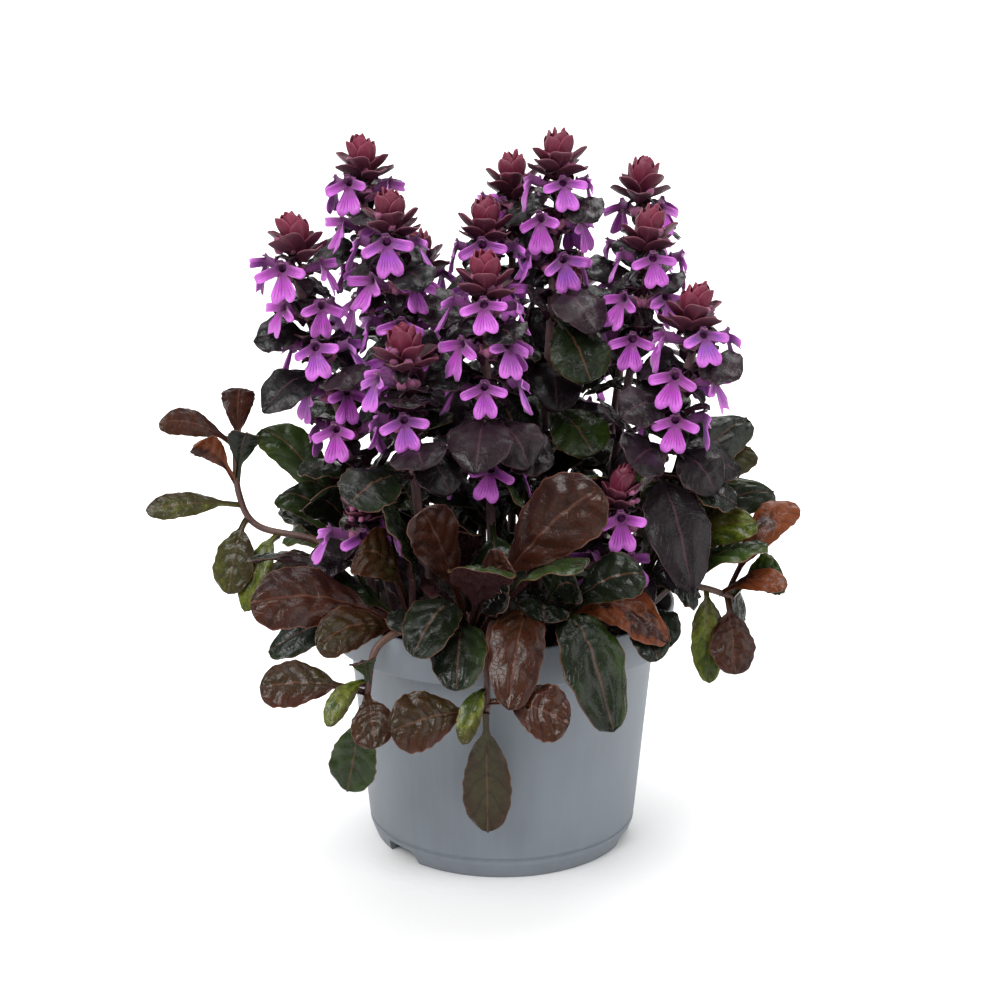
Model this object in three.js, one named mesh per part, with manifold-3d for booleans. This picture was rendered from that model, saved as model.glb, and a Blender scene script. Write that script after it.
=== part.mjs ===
// A potted bugleweed: a clump of flowering stems, leafy crowns and runners in a
// plastic nursery pot. Millimetres, +Z up, origin on the ground at the pot's axis, front towards -Y.
import * as THREE from "three";
import { mergeVertices } from "three/addons/utils/BufferGeometryUtils.js";
import Module from "manifold-3d";

const wasm = await Module();
wasm.setup();

// Pot and soil
const POT_HEIGHT = 92;
const RIM_RADIUS = 65;
const COLLAR_FOOT = 77; // height of the step under the wide collar
const WALL_TOP_RADIUS = 57.6; // outside of the wall just under the collar
const WALL_FOOT_RADIUS = 51.2;
const WALL = 1.4;
const FLOOR = 5.5; // height of the floor's underside
const PAD_RADIUS = 9; // the floor's centre stands on the ground
const NOTCH_ANGLES = [-138, -20, 100]; // degrees round the pot from +X
const NOTCH_WIDTH = 17;
const DRAIN_HOLES = 6;
const DRAIN_RADIUS = 3.5;
const DRAIN_CIRCLE = 38;
const TURN_STEPS = 24; // sides of the pot and of the soil
const SOIL_LEVEL = 84;
const FIT = 0.3; // gap between touching pieces

// Plant
const STEM_RADIUS = 1.8;
const CROWN_RADIUS = 2.8;
const CROWN_HEIGHT = 12.6; // over the soil
const CROWN_FIRST = 2.6; // its lowest leaves over the soil
const CROWN_STEP = 3.6;
const RUNNER_RADIUS = 1.5;
const BAND = 1.1; // half the height of the band of faces that a pair or whorl grows from
const ROOT_DEPTH = 5; // how far a stem stands in the soil
const CLEAR = 0.45; // room kept round a leaf or flower
const OFF_STALK = 0.01; // share of a leaf's stalk left out where it is tested against its stem
const HEAD = 17; // length of the bud at a stem's tip
const FIRST_WHORL = 19; // below the tip
const WHORL_STEP = 14.5;
const BRACT_DROP = 11.5; // how far a whorl's bracts grow under its blooms
const PAIR_DROP = 6; // the first pair of leaves under the last whorl
const PAIR_STEP = 17;
const LEAF_THICK = 1.2;
const LEAF_WAVE = 0.08; // how far a blade's edges rise and sink, as a share of half its width
const LEAF_SAG = 0.06; // how far they hang under its middle
const EDGE_WAVE = 0.05; // how much its outline goes in and out
const FACING_FRONT = 0.9; // how much the leaves at the front look forwards
const TUBE_LENGTH = 9.5;

// Flowering stems: foot on the soil, tip, blooms in each whorl from the top down, the way that
// they face in degrees, pairs of leaves under them, single leaves, and how wide the bud at the
// top is next to the others. A single leaf has the height that it grows at, a tip, a width and
// an arch.
const FLOWERING_STEMS = [
  {
    foot: [-31, 23],
    tip: [-53, 26, 262],
    blooms: [3, 3, 3, 3],
    face: -105,
    pairs: 2,
    leaves: [
      { from: 179, tip: [-58, 9, 176], width: 19, rise: -9 },
      { from: 231, tip: [-44, 45, 243], width: 18, rise: 7 },
    ],
  },
  { foot: [-24, 2], tip: [-41, 0, 243], blooms: [3, 3, 3, 3], face: -90, pairs: 2 },
  {
    foot: [-37, -15],
    tip: [-76, -5, 235],
    blooms: [3, 3, 3, 3, 3],
    face: -100,
    pairs: 1,
    leaves: [
      { from: 205, tip: [-63, -1, 206], width: 15, rise: 6 },
      { from: 190, tip: [-70, 17, 189], width: 18, rise: 4 },
      { from: 176, tip: [-84, -26, 166], width: 19, rise: 7 },
    ],
  },
  { foot: [-8, 16], tip: [-6, 20, 240], blooms: [3, 3, 3], face: -90, pairs: 3 },
  { foot: [4, 36], tip: [4, 46, 256], blooms: [3, 3, 3], face: 90, pairs: 3 },
  {
    foot: [13, 10],
    tip: [21, 20, 264],
    blooms: [3, 3, 3],
    face: -80,
    pairs: 3,
    leaves: [
      { from: 205, tip: [34, -8, 192], width: 21, rise: 4 },
      { from: 184, tip: [20, -12, 164], width: 21, rise: 2 },
      { from: 233, tip: [22, 37, 240], width: 19, rise: 3 },
      { from: 196, tip: [11, 4, 202], width: 14, rise: 5 },
    ],
  },
  {
    foot: [36, 33],
    tip: [55, 45, 254],
    blooms: [3, 3, 3],
    face: 40,
    pairs: 3,
    leaves: [{ from: 209, tip: [32, 29, 209], width: 16, rise: 7 }],
  },
  {
    foot: [34, 4],
    tip: [55, 10, 237],
    blooms: [3, 3, 3],
    face: -90,
    pairs: 3,
    leaves: [
      { from: 178, tip: [72, 10, 171], width: 18, rise: 1 },
      { from: 192, tip: [59, 25, 190], width: 14, rise: 7 },
      { from: 152, tip: [40, -17, 161], width: 19, rise: 6 },
    ],
  },
  {
    foot: [42, -20],
    tip: [70, -15, 211],
    blooms: [3, 3, 3],
    face: -80,
    pairs: 1,
    leaves: [
      { from: 150, tip: [34, -40, 149], width: 20, rise: 4 },
      { from: 151, tip: [88, -34, 150], width: 20, rise: 4 },
      { from: 132, tip: [65, -52, 108], width: 24, rise: 0 },
      { from: 181, tip: [68, 12, 180], width: 18, rise: 5 },
    ],
  },
  {
    foot: [-3, -23],
    tip: [-6, -22, 223],
    blooms: [3, 3, 3, 0, 3],
    face: -90,
    pairs: 1,
    leaves: [{ from: 164, tip: [-9, -49, 149], width: 23, rise: 3 }],
  },
  {
    foot: [-26, -28],
    tip: [-34, -34, 199],
    blooms: [2, 2],
    face: -150,
    pairs: 3,
    leaves: [{ from: 154, tip: [-30, -57, 152], width: 21, rise: 6 }],
  },
  { foot: [30, -33], tip: [44, -34, 150], blooms: [2, 2], face: -100, pairs: 1, bud: 0.7 },
  { foot: [-44, -24], tip: [-50, -38, 145], blooms: [3], face: -80, pairs: 1, bud: 0.7 },
  { foot: [-20, 44], tip: [-34, 62, 226], blooms: [3, 3, 3, 3], face: 110, pairs: 2 },
  { foot: [22, 50], tip: [30, 72, 216], blooms: [3, 3, 3, 3], face: 75, pairs: 2 },
];

// Crowns: foot on the soil, then each leaf's tip, its width, how far its arch rises over its
// tip, and its turn about its own length in degrees. Others stand around the side that the crown
// faces.
const CROWNS = [
  {
    foot: [-30, -41],
    leaves: [
      { tip: [-85, -62, 107], width: 24, rise: 6, roll: 0 },
      { tip: [-66, -64, 94], width: 17, rise: 12, roll: 0 },
      { tip: [-82, -45, 84], width: 16, rise: 18, roll: 0 },
      { tip: [-31, -70, 90], width: 20, rise: 18, roll: 0 },
      { tip: [-64, -47, 126], width: 20, rise: 8, roll: 0 },
    ],
    around: 3,
    facing: 200,
  },
  {
    foot: [-12, -39],
    leaves: [
      { tip: [-15, -84, 84], width: 19, rise: 24, roll: 0 },
      { tip: [-36, -85, 80], width: 18, rise: 23, roll: 0 },
      { tip: [-35, -54, 143], width: 19, rise: -16, roll: 0 },
      { tip: [33, -57, 146], width: 27, rise: -14, roll: 0 },
      { tip: [3, -60, 120], width: 14, rise: 0, roll: 0 },
      { tip: [-14, -60, 112], width: 16, rise: 4, roll: 0 },
      { tip: [2, -72, 113], width: 17, rise: 0, roll: 0 },
    ],
    around: 3,
    facing: 260,
  },
  {
    foot: [14, -41],
    leaves: [
      { tip: [31, -80, 67], width: 24, rise: 34, roll: -10 },
      { tip: [53, -65, 93], width: 20, rise: 24, roll: -15 },
      { tip: [22, -52, 119], width: 18, rise: -2, roll: 0 },
      { tip: [48, -60, 117], width: 18, rise: 0, roll: 0 },
      { tip: [2, -83, 77], width: 19, rise: 36, roll: 0 },
      { tip: [13, -66, 98], width: 18, rise: 12, roll: 0 },
      { tip: [26, -62, 112], width: 16, rise: 6, roll: 0 },
      { tip: [45, -46, 102], width: 13, rise: 0, roll: 0 },
    ],
    around: 3,
    facing: 280,
  },
  {
    foot: [45, -30],
    leaves: [
      { tip: [42, -66, 92], width: 14, rise: 18, roll: 30 },
      { tip: [68, -46, 104], width: 24, rise: 26, roll: 0 },
      { tip: [60, -54, 86], width: 16, rise: 16, roll: 0 },
      { tip: [68, -32, 140], width: 20, rise: 2, roll: 0 },
      { tip: [91, 6, 158], width: 19, rise: -3, roll: 0 },
    ],
    around: 3,
    facing: 320,
  },
  {
    foot: [50, -4],
    leaves: [
      { tip: [92, 0, 148], width: 20, rise: 2, roll: 0 },
      { tip: [102, -6, 131], width: 17, rise: 6, roll: 0 },
      { tip: [91, -25, 126], width: 16, rise: 2, roll: 0 },
      { tip: [84, 20, 104], width: 18, rise: 20, roll: 0 },
      { tip: [86, 14, 128], width: 18, rise: 8, roll: 0 },
    ],
    around: 3,
    facing: 10,
  },
  {
    foot: [-49, 3],
    leaves: [
      { tip: [-90, 8, 154], width: 17, rise: -4, roll: 0 },
      { tip: [-83, 2, 131], width: 16, rise: 6, roll: 0 },
      { tip: [-84, 26, 108], width: 18, rise: 16, roll: 0 },
      { tip: [-68, -26, 134], width: 18, rise: 4, roll: 0 },
      { tip: [-88, -18, 98], width: 17, rise: 20, roll: 0 },
      { tip: [-96, -29, 144], width: 19, rise: -4, roll: 0 },
    ],
    around: 3,
    facing: 170,
  },
  { foot: [44, 24], around: 9, facing: 30 },
  { foot: [6, 53], around: 9, facing: 90 },
  { foot: [-42, 32], around: 9, facing: 145 },
  { foot: [14, -12], around: 8, facing: 280 },
  { foot: [-12, -10], around: 8, facing: 230 },
];

// Runners: the points that each one follows from the soil, and its leaves. A leaf grows at a
// share of the runner's length and has a tip, a width, an arch and a turn. front turns their faces.
const RUNNERS = [
  {
    front: 1.4,
    path: [
      [-47, -12, 79], [-50, -13, 104], [-68, -12, 116], [-90, -9, 121], [-97, -7, 133], [-98, -5, 150],
    ],
    leaves: [
      { at: 1.0, tip: [-124, -12, 160], width: 11, rise: 3, roll: 0 },
      { at: 0.96, tip: [-96, 1, 171], width: 12.5, rise: 0, roll: 30 },
      { at: 0.86, tip: [-111, -16, 152], width: 10, rise: 2, roll: -20 },
      { at: 0.86, tip: [-92, -12, 156], width: 12, rise: 0, roll: 40 },
      { at: 0.74, tip: [-130, -14, 128], width: 10.5, rise: 3, roll: 0 },
      { at: 0.66, tip: [-100, -20, 98], width: 16, rise: -3, roll: 0 },
      { at: 0.52, tip: [-92, -24, 92], width: 12, rise: -2, roll: 0 },
    ],
  },
  {
    front: 1.4,
    path: [[-23, -50, 79], [-27, -54, 96], [-42, -65, 93], [-46, -70, 75]],
    leaves: [
      { at: 0.95, tip: [-81, -73, 81], width: 17, rise: 4, roll: 10 },
      { at: 0.89, tip: [-47, -75, 90], width: 9, rise: 2, roll: 0 },
      { at: 0.89, tip: [-58, -82, 71], width: 8, rise: 3, roll: 0 },
      { at: 0.95, tip: [-42, -84, 64], width: 15, rise: 0, roll: 0 },
      { at: 1.0, tip: [-53, -68, 42], width: 17, rise: -14, roll: 0 },
    ],
  },
  {
    front: 1.4,
    path: [[-3, -50, 79], [-3, -53, 97], [-5, -70, 93], [-5, -76, 74]],
    leaves: [
      { at: 1.0, tip: [-38, -82, 71], width: 20, rise: 3, roll: 0 },
      { at: 0.95, tip: [22, -83, 72], width: 19, rise: 3, roll: 0 },
      { at: 0.95, tip: [-5, -66, 26], width: 17, rise: -19, roll: 0 },
      { at: 0.89, tip: [-13, -88, 67], width: 8, rise: 2, roll: 0 },
    ],
  },
  {
    front: 1.4,
    path: [[49, -17, 79], [53, -19, 102], [72, -21, 101], [84, -20, 97]],
    leaves: [
      { at: 1.0, tip: [101, -30, 107], width: 16, rise: 4, roll: 0 },
      { at: 0.95, tip: [84, -34, 72], width: 17, rise: -6, roll: 0 },
      { at: 0.95, tip: [108, -8, 129], width: 14, rise: -2, roll: -20 },
      { at: 0.89, tip: [92, -12, 85], width: 11, rise: 4, roll: 0 },
      { at: 0.89, tip: [109, -20, 105], width: 9, rise: 4, roll: 0 },
      { at: 0.72, tip: [75, -32, 68], width: 13, rise: -4, roll: 0 },
    ],
  },
  {
    path: [[34, 43, 79], [37, 47, 99], [48, 64, 100], [56, 80, 92]],
    leaves: [
      { at: 1.0, tip: [70, 104, 98], width: 15, rise: 4, roll: 0 },
      { at: 0.95, tip: [40, 98, 84], width: 15, rise: 6, roll: 0 },
      { at: 0.89, tip: [86, 84, 84], width: 15, rise: 6, roll: 0 },
      { at: 0.95, tip: [60, 86, 60], width: 14, rise: 8, roll: 0 },
      { at: 0.7, tip: [66, 68, 120], width: 12, rise: -2, roll: 0 },
    ],
  },
  {
    path: [[-31, 46, 79], [-34, 50, 99], [-48, 66, 101], [-62, 78, 96]],
    leaves: [
      { at: 1.0, tip: [-88, 90, 104], width: 15, rise: 4, roll: 0 },
      { at: 0.95, tip: [-54, 102, 90], width: 15, rise: 6, roll: 0 },
      { at: 0.89, tip: [-84, 68, 82], width: 14, rise: 6, roll: 0 },
      { at: 0.95, tip: [-62, 80, 64], width: 14, rise: 8, roll: 0 },
      { at: 0.7, tip: [-66, 64, 124], width: 12, rise: -2, roll: 0 },
    ],
  },
];

// Ways to bend a leaf or flower clear of what stands in its place: yaw and pitch in degrees
// about its root, and its share of its length.
const BENDS = [
  [0, 0, 1],
  [9, 0, 1],
  [-9, 0, 1],
  [0, 9, 1],
  [0, -9, 1],
  [17, 5, 0.95],
  [-17, 5, 0.95],
  [17, -8, 0.95],
  [-17, -8, 0.95],
  [0, 20, 0.92],
  [30, 8, 0.9],
  [-30, 8, 0.9],
  [0, 34, 0.85],
  [45, 15, 0.85],
  [-45, 15, 0.85],
  [0, -22, 0.9],
  [25, -20, 0.85],
  [-25, -20, 0.85],
  [60, 0, 0.8],
  [-60, 0, 0.8],
  [0, 50, 0.75],
];

const UP = new THREE.Vector3(0, 0, 1);
const FRONT = new THREE.Vector3(0, -1, 0);
const vec = (p) => new THREE.Vector3(...p);
const radians = THREE.MathUtils.degToRad;

// Random numbers from 0 to 1, the same on every run for the same seed.
function seeded(seed) {
  let state = seed * 7919 + 17;
  return () => {
    state = (state * 16807) % 2147483647;
    return state / 2147483647;
  };
}

// Solids

function solidOf(geometry) {
  const bare = geometry.clone();
  bare.deleteAttribute("normal");
  bare.deleteAttribute("uv");
  const merged = mergeVertices(bare, 1e-4);
  const index = merged.index.array;
  const triangles = [];
  for (let i = 0; i < index.length; i += 3) {
    const [a, b, c] = [index[i], index[i + 1], index[i + 2]];
    if (a !== b && b !== c && c !== a) triangles.push(a, b, c);
  }
  const mesh = new wasm.Mesh({
    numProp: 3,
    vertProperties: merged.attributes.position.array,
    triVerts: Uint32Array.from(triangles),
  });
  mesh.merge();
  return new wasm.Manifold(mesh);
}

function geometryOf(solid) {
  const mesh = solid.getMesh();
  const geometry = new THREE.BufferGeometry();
  geometry.setAttribute("position", new THREE.BufferAttribute(mesh.vertProperties, 3));
  geometry.setIndex(new THREE.BufferAttribute(mesh.triVerts, 1));
  return geometry;
}

function revolve(profile) {
  const lathe = new THREE.LatheGeometry(profile.map((p) => new THREE.Vector2(...p)), TURN_STEPS);
  lathe.rotateX(Math.PI / 2);
  return solidOf(lathe);
}

// Pot

const wallRadius = (z) =>
  WALL_FOOT_RADIUS + ((WALL_TOP_RADIUS - WALL_FOOT_RADIUS) * (z - 6)) / (COLLAR_FOOT - 6);

function potSolid() {
  const floorTop = FLOOR + WALL;
  const collarInside = RIM_RADIUS - 0.8 - WALL;
  const shell = revolve([
    [0, 0],
    [PAD_RADIUS, 0],
    [PAD_RADIUS + 2, FLOOR],
    [47.2, FLOOR],
    [47.2, 0],
    [48.8, 0],
    [50.6, 2.5],
    [WALL_FOOT_RADIUS, 6],
    [WALL_TOP_RADIUS, COLLAR_FOOT],
    [RIM_RADIUS - 0.8, COLLAR_FOOT + 1.2],
    [RIM_RADIUS, POT_HEIGHT - 1],
    [RIM_RADIUS - 0.5, POT_HEIGHT],
    [RIM_RADIUS - WALL, POT_HEIGHT],
    [collarInside, COLLAR_FOOT + 1.2 + WALL],
    [WALL_TOP_RADIUS - WALL, COLLAR_FOOT + WALL],
    [wallRadius(floorTop) - WALL, floorTop],
    [PAD_RADIUS + 3.4, floorTop],
    [PAD_RADIUS + 1.4, WALL],
    [0, WALL],
  ]);
  const cuts = [];
  for (const angle of NOTCH_ANGLES) {
    const outline = new THREE.Shape([
      new THREE.Vector2(-NOTCH_WIDTH / 2, -1),
      new THREE.Vector2(NOTCH_WIDTH / 2, -1),
      new THREE.Vector2(NOTCH_WIDTH / 2 - 1.6, 3.4),
      new THREE.Vector2(NOTCH_WIDTH / 2 - 3.4, FLOOR - 0.3),
      new THREE.Vector2(-NOTCH_WIDTH / 2 + 3.4, FLOOR - 0.3),
      new THREE.Vector2(-NOTCH_WIDTH / 2 + 1.6, 3.4),
    ]);
    const notch = new THREE.ExtrudeGeometry(outline, { depth: 12, bevelEnabled: false });
    notch.rotateX(Math.PI / 2);
    notch.translate(0, 54, 0);
    notch.rotateZ(radians(angle - 90));
    cuts.push(solidOf(notch));
  }
  for (let i = 0; i < DRAIN_HOLES; i++) {
    const hole = new THREE.CylinderGeometry(DRAIN_RADIUS, DRAIN_RADIUS, 12, 6);
    hole.rotateX(Math.PI / 2);
    hole.translate(DRAIN_CIRCLE, 0, FLOOR);
    hole.rotateZ(((i + 0.5) * 2 * Math.PI) / DRAIN_HOLES);
    cuts.push(solidOf(hole));
  }
  return cuts.reduce((pot, cut) => pot.subtract(cut), shell);
}

// Soil: it fills the pot to the collar, and its top is raised in low clods by a formula.
function soilSolid(holes) {
  const floorTop = FLOOR + WALL + FIT;
  const gap = WALL + 2 * FIT;
  const clods = (r, turn) => SOIL_LEVEL + 0.8 * Math.sin(r * 0.35 + 5 * turn) * Math.cos(3 * turn);
  const soil = revolve([
    [0, floorTop],
    [wallRadius(floorTop) - gap, floorTop],
    [WALL_TOP_RADIUS - gap, COLLAR_FOOT + WALL + FIT],
    [RIM_RADIUS - 0.8 - gap, COLLAR_FOOT + 2.1 + WALL],
    [RIM_RADIUS - 0.8 - gap, SOIL_LEVEL - 1],
    [36, SOIL_LEVEL],
    [0, SOIL_LEVEL],
  ]);
  const raised = soil.warp((p) => {
    const r = Math.hypot(p[0], p[1]);
    if (p[2] > SOIL_LEVEL - 0.5 && r > 1) p[2] = clods(r, Math.atan2(p[1], p[0]));
  });
  return holes.reduce((filled, hole) => filled.subtract(hole), raised);
}

// Skins

function middleOf(points) {
  const middle = new THREE.Vector3();
  for (const point of points) middle.addScaledVector(point, 1 / points.length);
  return middle;
}

// A closed surface put together from loops of points. A loop runs anticlockwise as seen from the
// tip of what it belongs to. Each corner has a turn, its place round the loop from 0 to 1.
class Skin {
  points = [];
  triangles = [];

  loop(corners) {
    return corners.map(({ point, turn }) => {
      this.points.push(point.x, point.y, point.z);
      return { at: this.points.length / 3 - 1, turn };
    });
  }

  // Closes the surface between two loops, corner by corner.
  join(low, high) {
    const next = (loop, i) => (i + 1 < loop.length ? loop[i + 1].turn : loop[0].turn + 1);
    let i = 0;
    let j = 0;
    while (i < low.length || j < high.length) {
      const a = low[i % low.length].at;
      const c = high[j % high.length].at;
      if (j >= high.length || (i < low.length && next(low, i) <= next(high, j))) {
        i += 1;
        this.triangles.push(a, low[i % low.length].at, c);
      } else {
        j += 1;
        this.triangles.push(a, high[j % high.length].at, c);
      }
    }
  }

  point(loop, tip) {
    const [{ at }] = this.loop([{ point: tip, turn: 0 }]);
    loop.forEach((corner, i) => this.triangles.push(corner.at, loop[(i + 1) % loop.length].at, at));
  }

  fill(loop) {
    for (let i = 2; i < loop.length; i++) this.triangles.push(loop[0].at, loop[i - 1].at, loop[i].at);
  }

  // The same loop with the turns that its corners have as seen along the way to the next loop, so
  // that the surface between them isn't twisted.
  facing(loop, corners) {
    const placeOf = ({ at }) => new THREE.Vector3(...this.points.slice(3 * at, 3 * at + 3));
    const from = middleOf(loop.map(placeOf));
    const to = middleOf(corners.map(({ point }) => point));
    const axis = to.clone().sub(from).normalize();
    const first = corners[0].point.clone().sub(to).projectOnPlane(axis).normalize();
    const second = axis.clone().cross(first);
    const turned = loop.map((corner) => {
      const arm = placeOf(corner).sub(from);
      const turn = Math.atan2(arm.dot(second), arm.dot(first)) / (2 * Math.PI) + corners[0].turn;
      return { at: corner.at, turn: turn - Math.floor(turn) };
    });
    const start = turned.findIndex(({ turn }) => turned.every((other) => turn <= other.turn));
    return [...turned.slice(start), ...turned.slice(0, start)];
  }

  // Grows a leaf or flower from a loop that is open.
  grow(window, { loops, tip }) {
    let low = this.facing(window, loops[0]);
    for (const corners of loops) {
      const high = this.loop(corners);
      this.join(low, high);
      low = high;
    }
    this.point(low, tip);
  }

  solid() {
    const vertProperties = Float32Array.from(this.points);
    const triVerts = Uint32Array.from(this.triangles);
    return new wasm.Manifold(new wasm.Mesh({ numProp: 3, vertProperties, triVerts }));
  }
}

function solidFrom({ loops, tip }) {
  const skin = new Skin();
  const first = skin.loop(loops[0]);
  skin.fill([...first].reverse());
  skin.grow(first, { loops: loops.slice(1), tip });
  return skin.solid();
}

// Stalks: what carries leaves and flowers. A stalk has a line, a radius, a number of sides, a
// direction of its faces and bands, each of which has a share of the line and a turn in degrees.

const around = (degrees) => new THREE.Vector3(Math.cos(radians(degrees)), Math.sin(radians(degrees)), 0);

// The direction of a face in degrees.
const faceTurn = (stalk, band, side) => (side * 360) / stalk.sides + band.turn;

function faceNormal(stalk, band, face) {
  const [across, up] = stalk.axes(band.t);
  const angle = radians(faceTurn(stalk, band, face));
  return across.multiplyScalar(Math.cos(angle)).addScaledVector(up, Math.sin(angle));
}

function faceRoot(stalk, band, face) {
  const reach = stalk.radius(band.t) * Math.cos(Math.PI / stalk.sides);
  return stalk.line(band.t).addScaledVector(faceNormal(stalk, band, face), reach);
}

function ring(stalk, t, turn) {
  return Array.from({ length: stalk.sides }, (_, i) => {
    const point = stalk.line(t).addScaledVector(faceNormal(stalk, { t, turn }, i - 0.5), stalk.radius(t));
    return { point, turn: i / stalk.sides };
  });
}

// The corners of the face that something grows from, or of the stalk's end where it has no band.
function windowOf(stalk, band, face) {
  if (!band) return ring(stalk, 1, stalk.turn);
  const low = ring(stalk, band.t - stalk.half, band.turn);
  const high = ring(stalk, band.t + stalk.half, band.turn);
  const next = (face + 1) % stalk.sides;
  return [low[face], low[next], high[next], high[face]].map(({ point }, k) => ({ point, turn: k / 4 }));
}

// The rings of a stalk from its foot to its end: one at each end of every band, and plain ones.
function ringsOf(stalk) {
  const isFree = (t) => !stalk.bands.some((band) => Math.abs(band.t - t) < stalk.half * 1.8);
  const rings = stalk.plain.filter(isFree).map((t) => ({ t, turn: stalk.turn }));
  for (const band of stalk.bands) {
    rings.push({ t: band.t - stalk.half, turn: band.turn, band });
    rings.push({ t: band.t + stalk.half, turn: band.turn });
  }
  return rings.sort((a, b) => a.t - b.t);
}

// The stalk's whole surface with what grows from its faces: each growth has a band, a face and a
// shape. One that has no band grows from the stalk's end.
function stalkSkin(stalk, growths) {
  const skin = new Skin();
  let low = null;
  let lowRing = null;
  for (const each of ringsOf(stalk)) {
    const high = skin.loop(ring(stalk, each.t, each.turn));
    if (!low) skin.fill([...high].reverse());
    else if (!lowRing.band) {
      const shift = Math.round(((each.turn - lowRing.turn) * stalk.sides) / 360);
      skin.join(low, low.map(({ turn }, i) => ({ at: high.at((i - shift) % stalk.sides).at, turn })));
    } else {
      for (let i = 0; i < stalk.sides; i++) {
        const next = (i + 1) % stalk.sides;
        const corners = [low[i], low[next], high[next], high[i]];
        const window = corners.map(({ at }, k) => ({ at, turn: k / 4 }));
        const growth = growths.find((one) => one.band === lowRing.band && one.face === i);
        if (growth) skin.grow(window, growth.shape);
        else skin.fill(window);
      }
    }
    low = high;
    lowRing = each;
  }
  const last = growths.find((one) => !one.band);
  if (last) skin.grow(low, last.shape);
  else skin.fill(low);
  return skin;
}

// Shapes

// A leaf follows a curve from its root over a control point to its tip; side lies across it. Its
// upper face looks up and outwards, and as much as front says towards the front.
function leafBetween(root, tip, { rise = 0, roll = 0, front = 0 }) {
  const along = tip.clone().sub(root);
  const outward = new THREE.Vector3(tip.x, tip.y, 0).normalize();
  const face = UP.clone().addScaledVector(outward, 0.35).addScaledVector(FRONT, front);
  const side = along.clone().cross(face).normalize();
  side.applyAxisAngle(along.clone().normalize(), radians(roll));
  const control = root.clone().lerp(tip, 0.5);
  control.z = Math.max(root.z, tip.z) + rise;
  return { root, control, tip, side };
}

// A leaf that leaves its root along a direction and bows away from it, and looks to the front.
function leafAlong(root, azimuth, elevation, length, bow) {
  const out = around(azimuth);
  const rise = radians(elevation);
  const along = out.clone().multiplyScalar(Math.cos(rise)).addScaledVector(UP, Math.sin(rise));
  const face = UP.clone().multiplyScalar(Math.cos(rise)).addScaledVector(out, -Math.sin(rise));
  const tip = root.clone().addScaledVector(along, length);
  const control = root.clone().addScaledVector(along, length / 2).addScaledVector(face, length * bow);
  const side = along.cross(face.addScaledVector(FRONT, FACING_FRONT)).normalize();
  return { root, control, tip, side };
}

// Kinds of leaf: share of the length that is stalk, half the stalk's width, stations of the
// blade, and its outline, v being 0 at the blade's base and 1 at its tip.
const LEAF_KINDS = {
  spoon: {
    stalk: 0.3,
    stalkHalf: 1.1,
    stations: [0, 0.17, 0.43, 0.72, 0.95],
    outline: (v) => Math.sin(Math.PI * v ** 1.5) ** 0.46,
  },
  small: {
    stalk: 0.22,
    stalkHalf: 1.0,
    stations: [0, 0.3, 0.68, 0.94],
    outline: (v) => Math.sin(Math.PI * v ** 1.4) ** 0.48,
  },
  bract: {
    stalk: 0.25,
    stalkHalf: 1.5,
    stations: [0, 0.4, 0.86],
    outline: (v) => Math.sin(Math.PI * v ** 0.95) ** 0.6,
  },
};

// room grows the leaf on all sides.
function leafShape(leaf, room = 0) {
  const { stalk, stalkHalf, stations, outline } = LEAF_KINDS[leaf.kind];
  const curve = new THREE.QuadraticBezierCurve3(leaf.root, leaf.control, leaf.tip);
  const shares = [-1, ...stations];
  const thick = LEAF_THICK / 2 + room;
  const loops = shares.map((v, i) => {
    const u = v < 0 ? 0 : stalk + v * (1 - stalk);
    const middle = curve.getPoint(u);
    const face = leaf.side.clone().cross(curve.getTangent(u)).normalize();
    const wave = i % 2 ? 1 : -1;
    const widened = v > 0 ? (leaf.width / 2 - stalkHalf) * outline(v) * (1 + EDGE_WAVE * wave) : 0;
    const half = stalkHalf + widened + room;
    const lift = v > 0 ? (LEAF_WAVE * wave - LEAF_SAG) * half : 0;
    const at = (across, up) => middle.clone().addScaledVector(leaf.side, -across).addScaledVector(face, up);
    return [
      { point: at(0, lift - 2 * thick), turn: 0.125 },
      { point: at(half, lift), turn: 0.375 },
      { point: at(-half, lift), turn: 0.875 },
    ];
  });
  return { loops, tip: leaf.tip.clone().addScaledVector(curve.getTangent(1), room) };
}

// The lower lip of a flower: two side lobes and a broad notched middle lobe. Its outline goes
// round from the left notch: across, and down from the throat.
const LIP = [
  [-1.8, 4.4],
  [-4.9, 12.4],
  [0, 11.2],
  [4.9, 12.4],
  [1.8, 4.4],
  [6.8, 6],
  [7.8, 1.6],
  [0, -1.6],
  [-7.8, 1.6],
  [-6.8, 6],
];
const LIP_CENTRE = 2; // where the lip's middle lies under the throat
const LIP_CURL = 0.05;
const LIP_SWELL = 0.6;
const TUBE_RADIUS = 0.8;
const THROAT_RADIUS = 1.9;
const THROAT_DEPTH = 1.6; // how far behind the lip the tube's wide end lies

function flowerFrame(flower) {
  const across = new THREE.Vector3(-flower.out.y, flower.out.x, 0).normalize();
  const level = new THREE.Vector3(flower.out.x, flower.out.y, 0).normalize();
  const front = level.multiplyScalar(Math.cos(flower.nod)).addScaledVector(UP, Math.sin(flower.nod));
  const down = across.clone().cross(front);
  const throat = flower.root.clone().addScaledVector(flower.out, TUBE_LENGTH * flower.size);
  return { across, front, down, throat };
}

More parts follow.
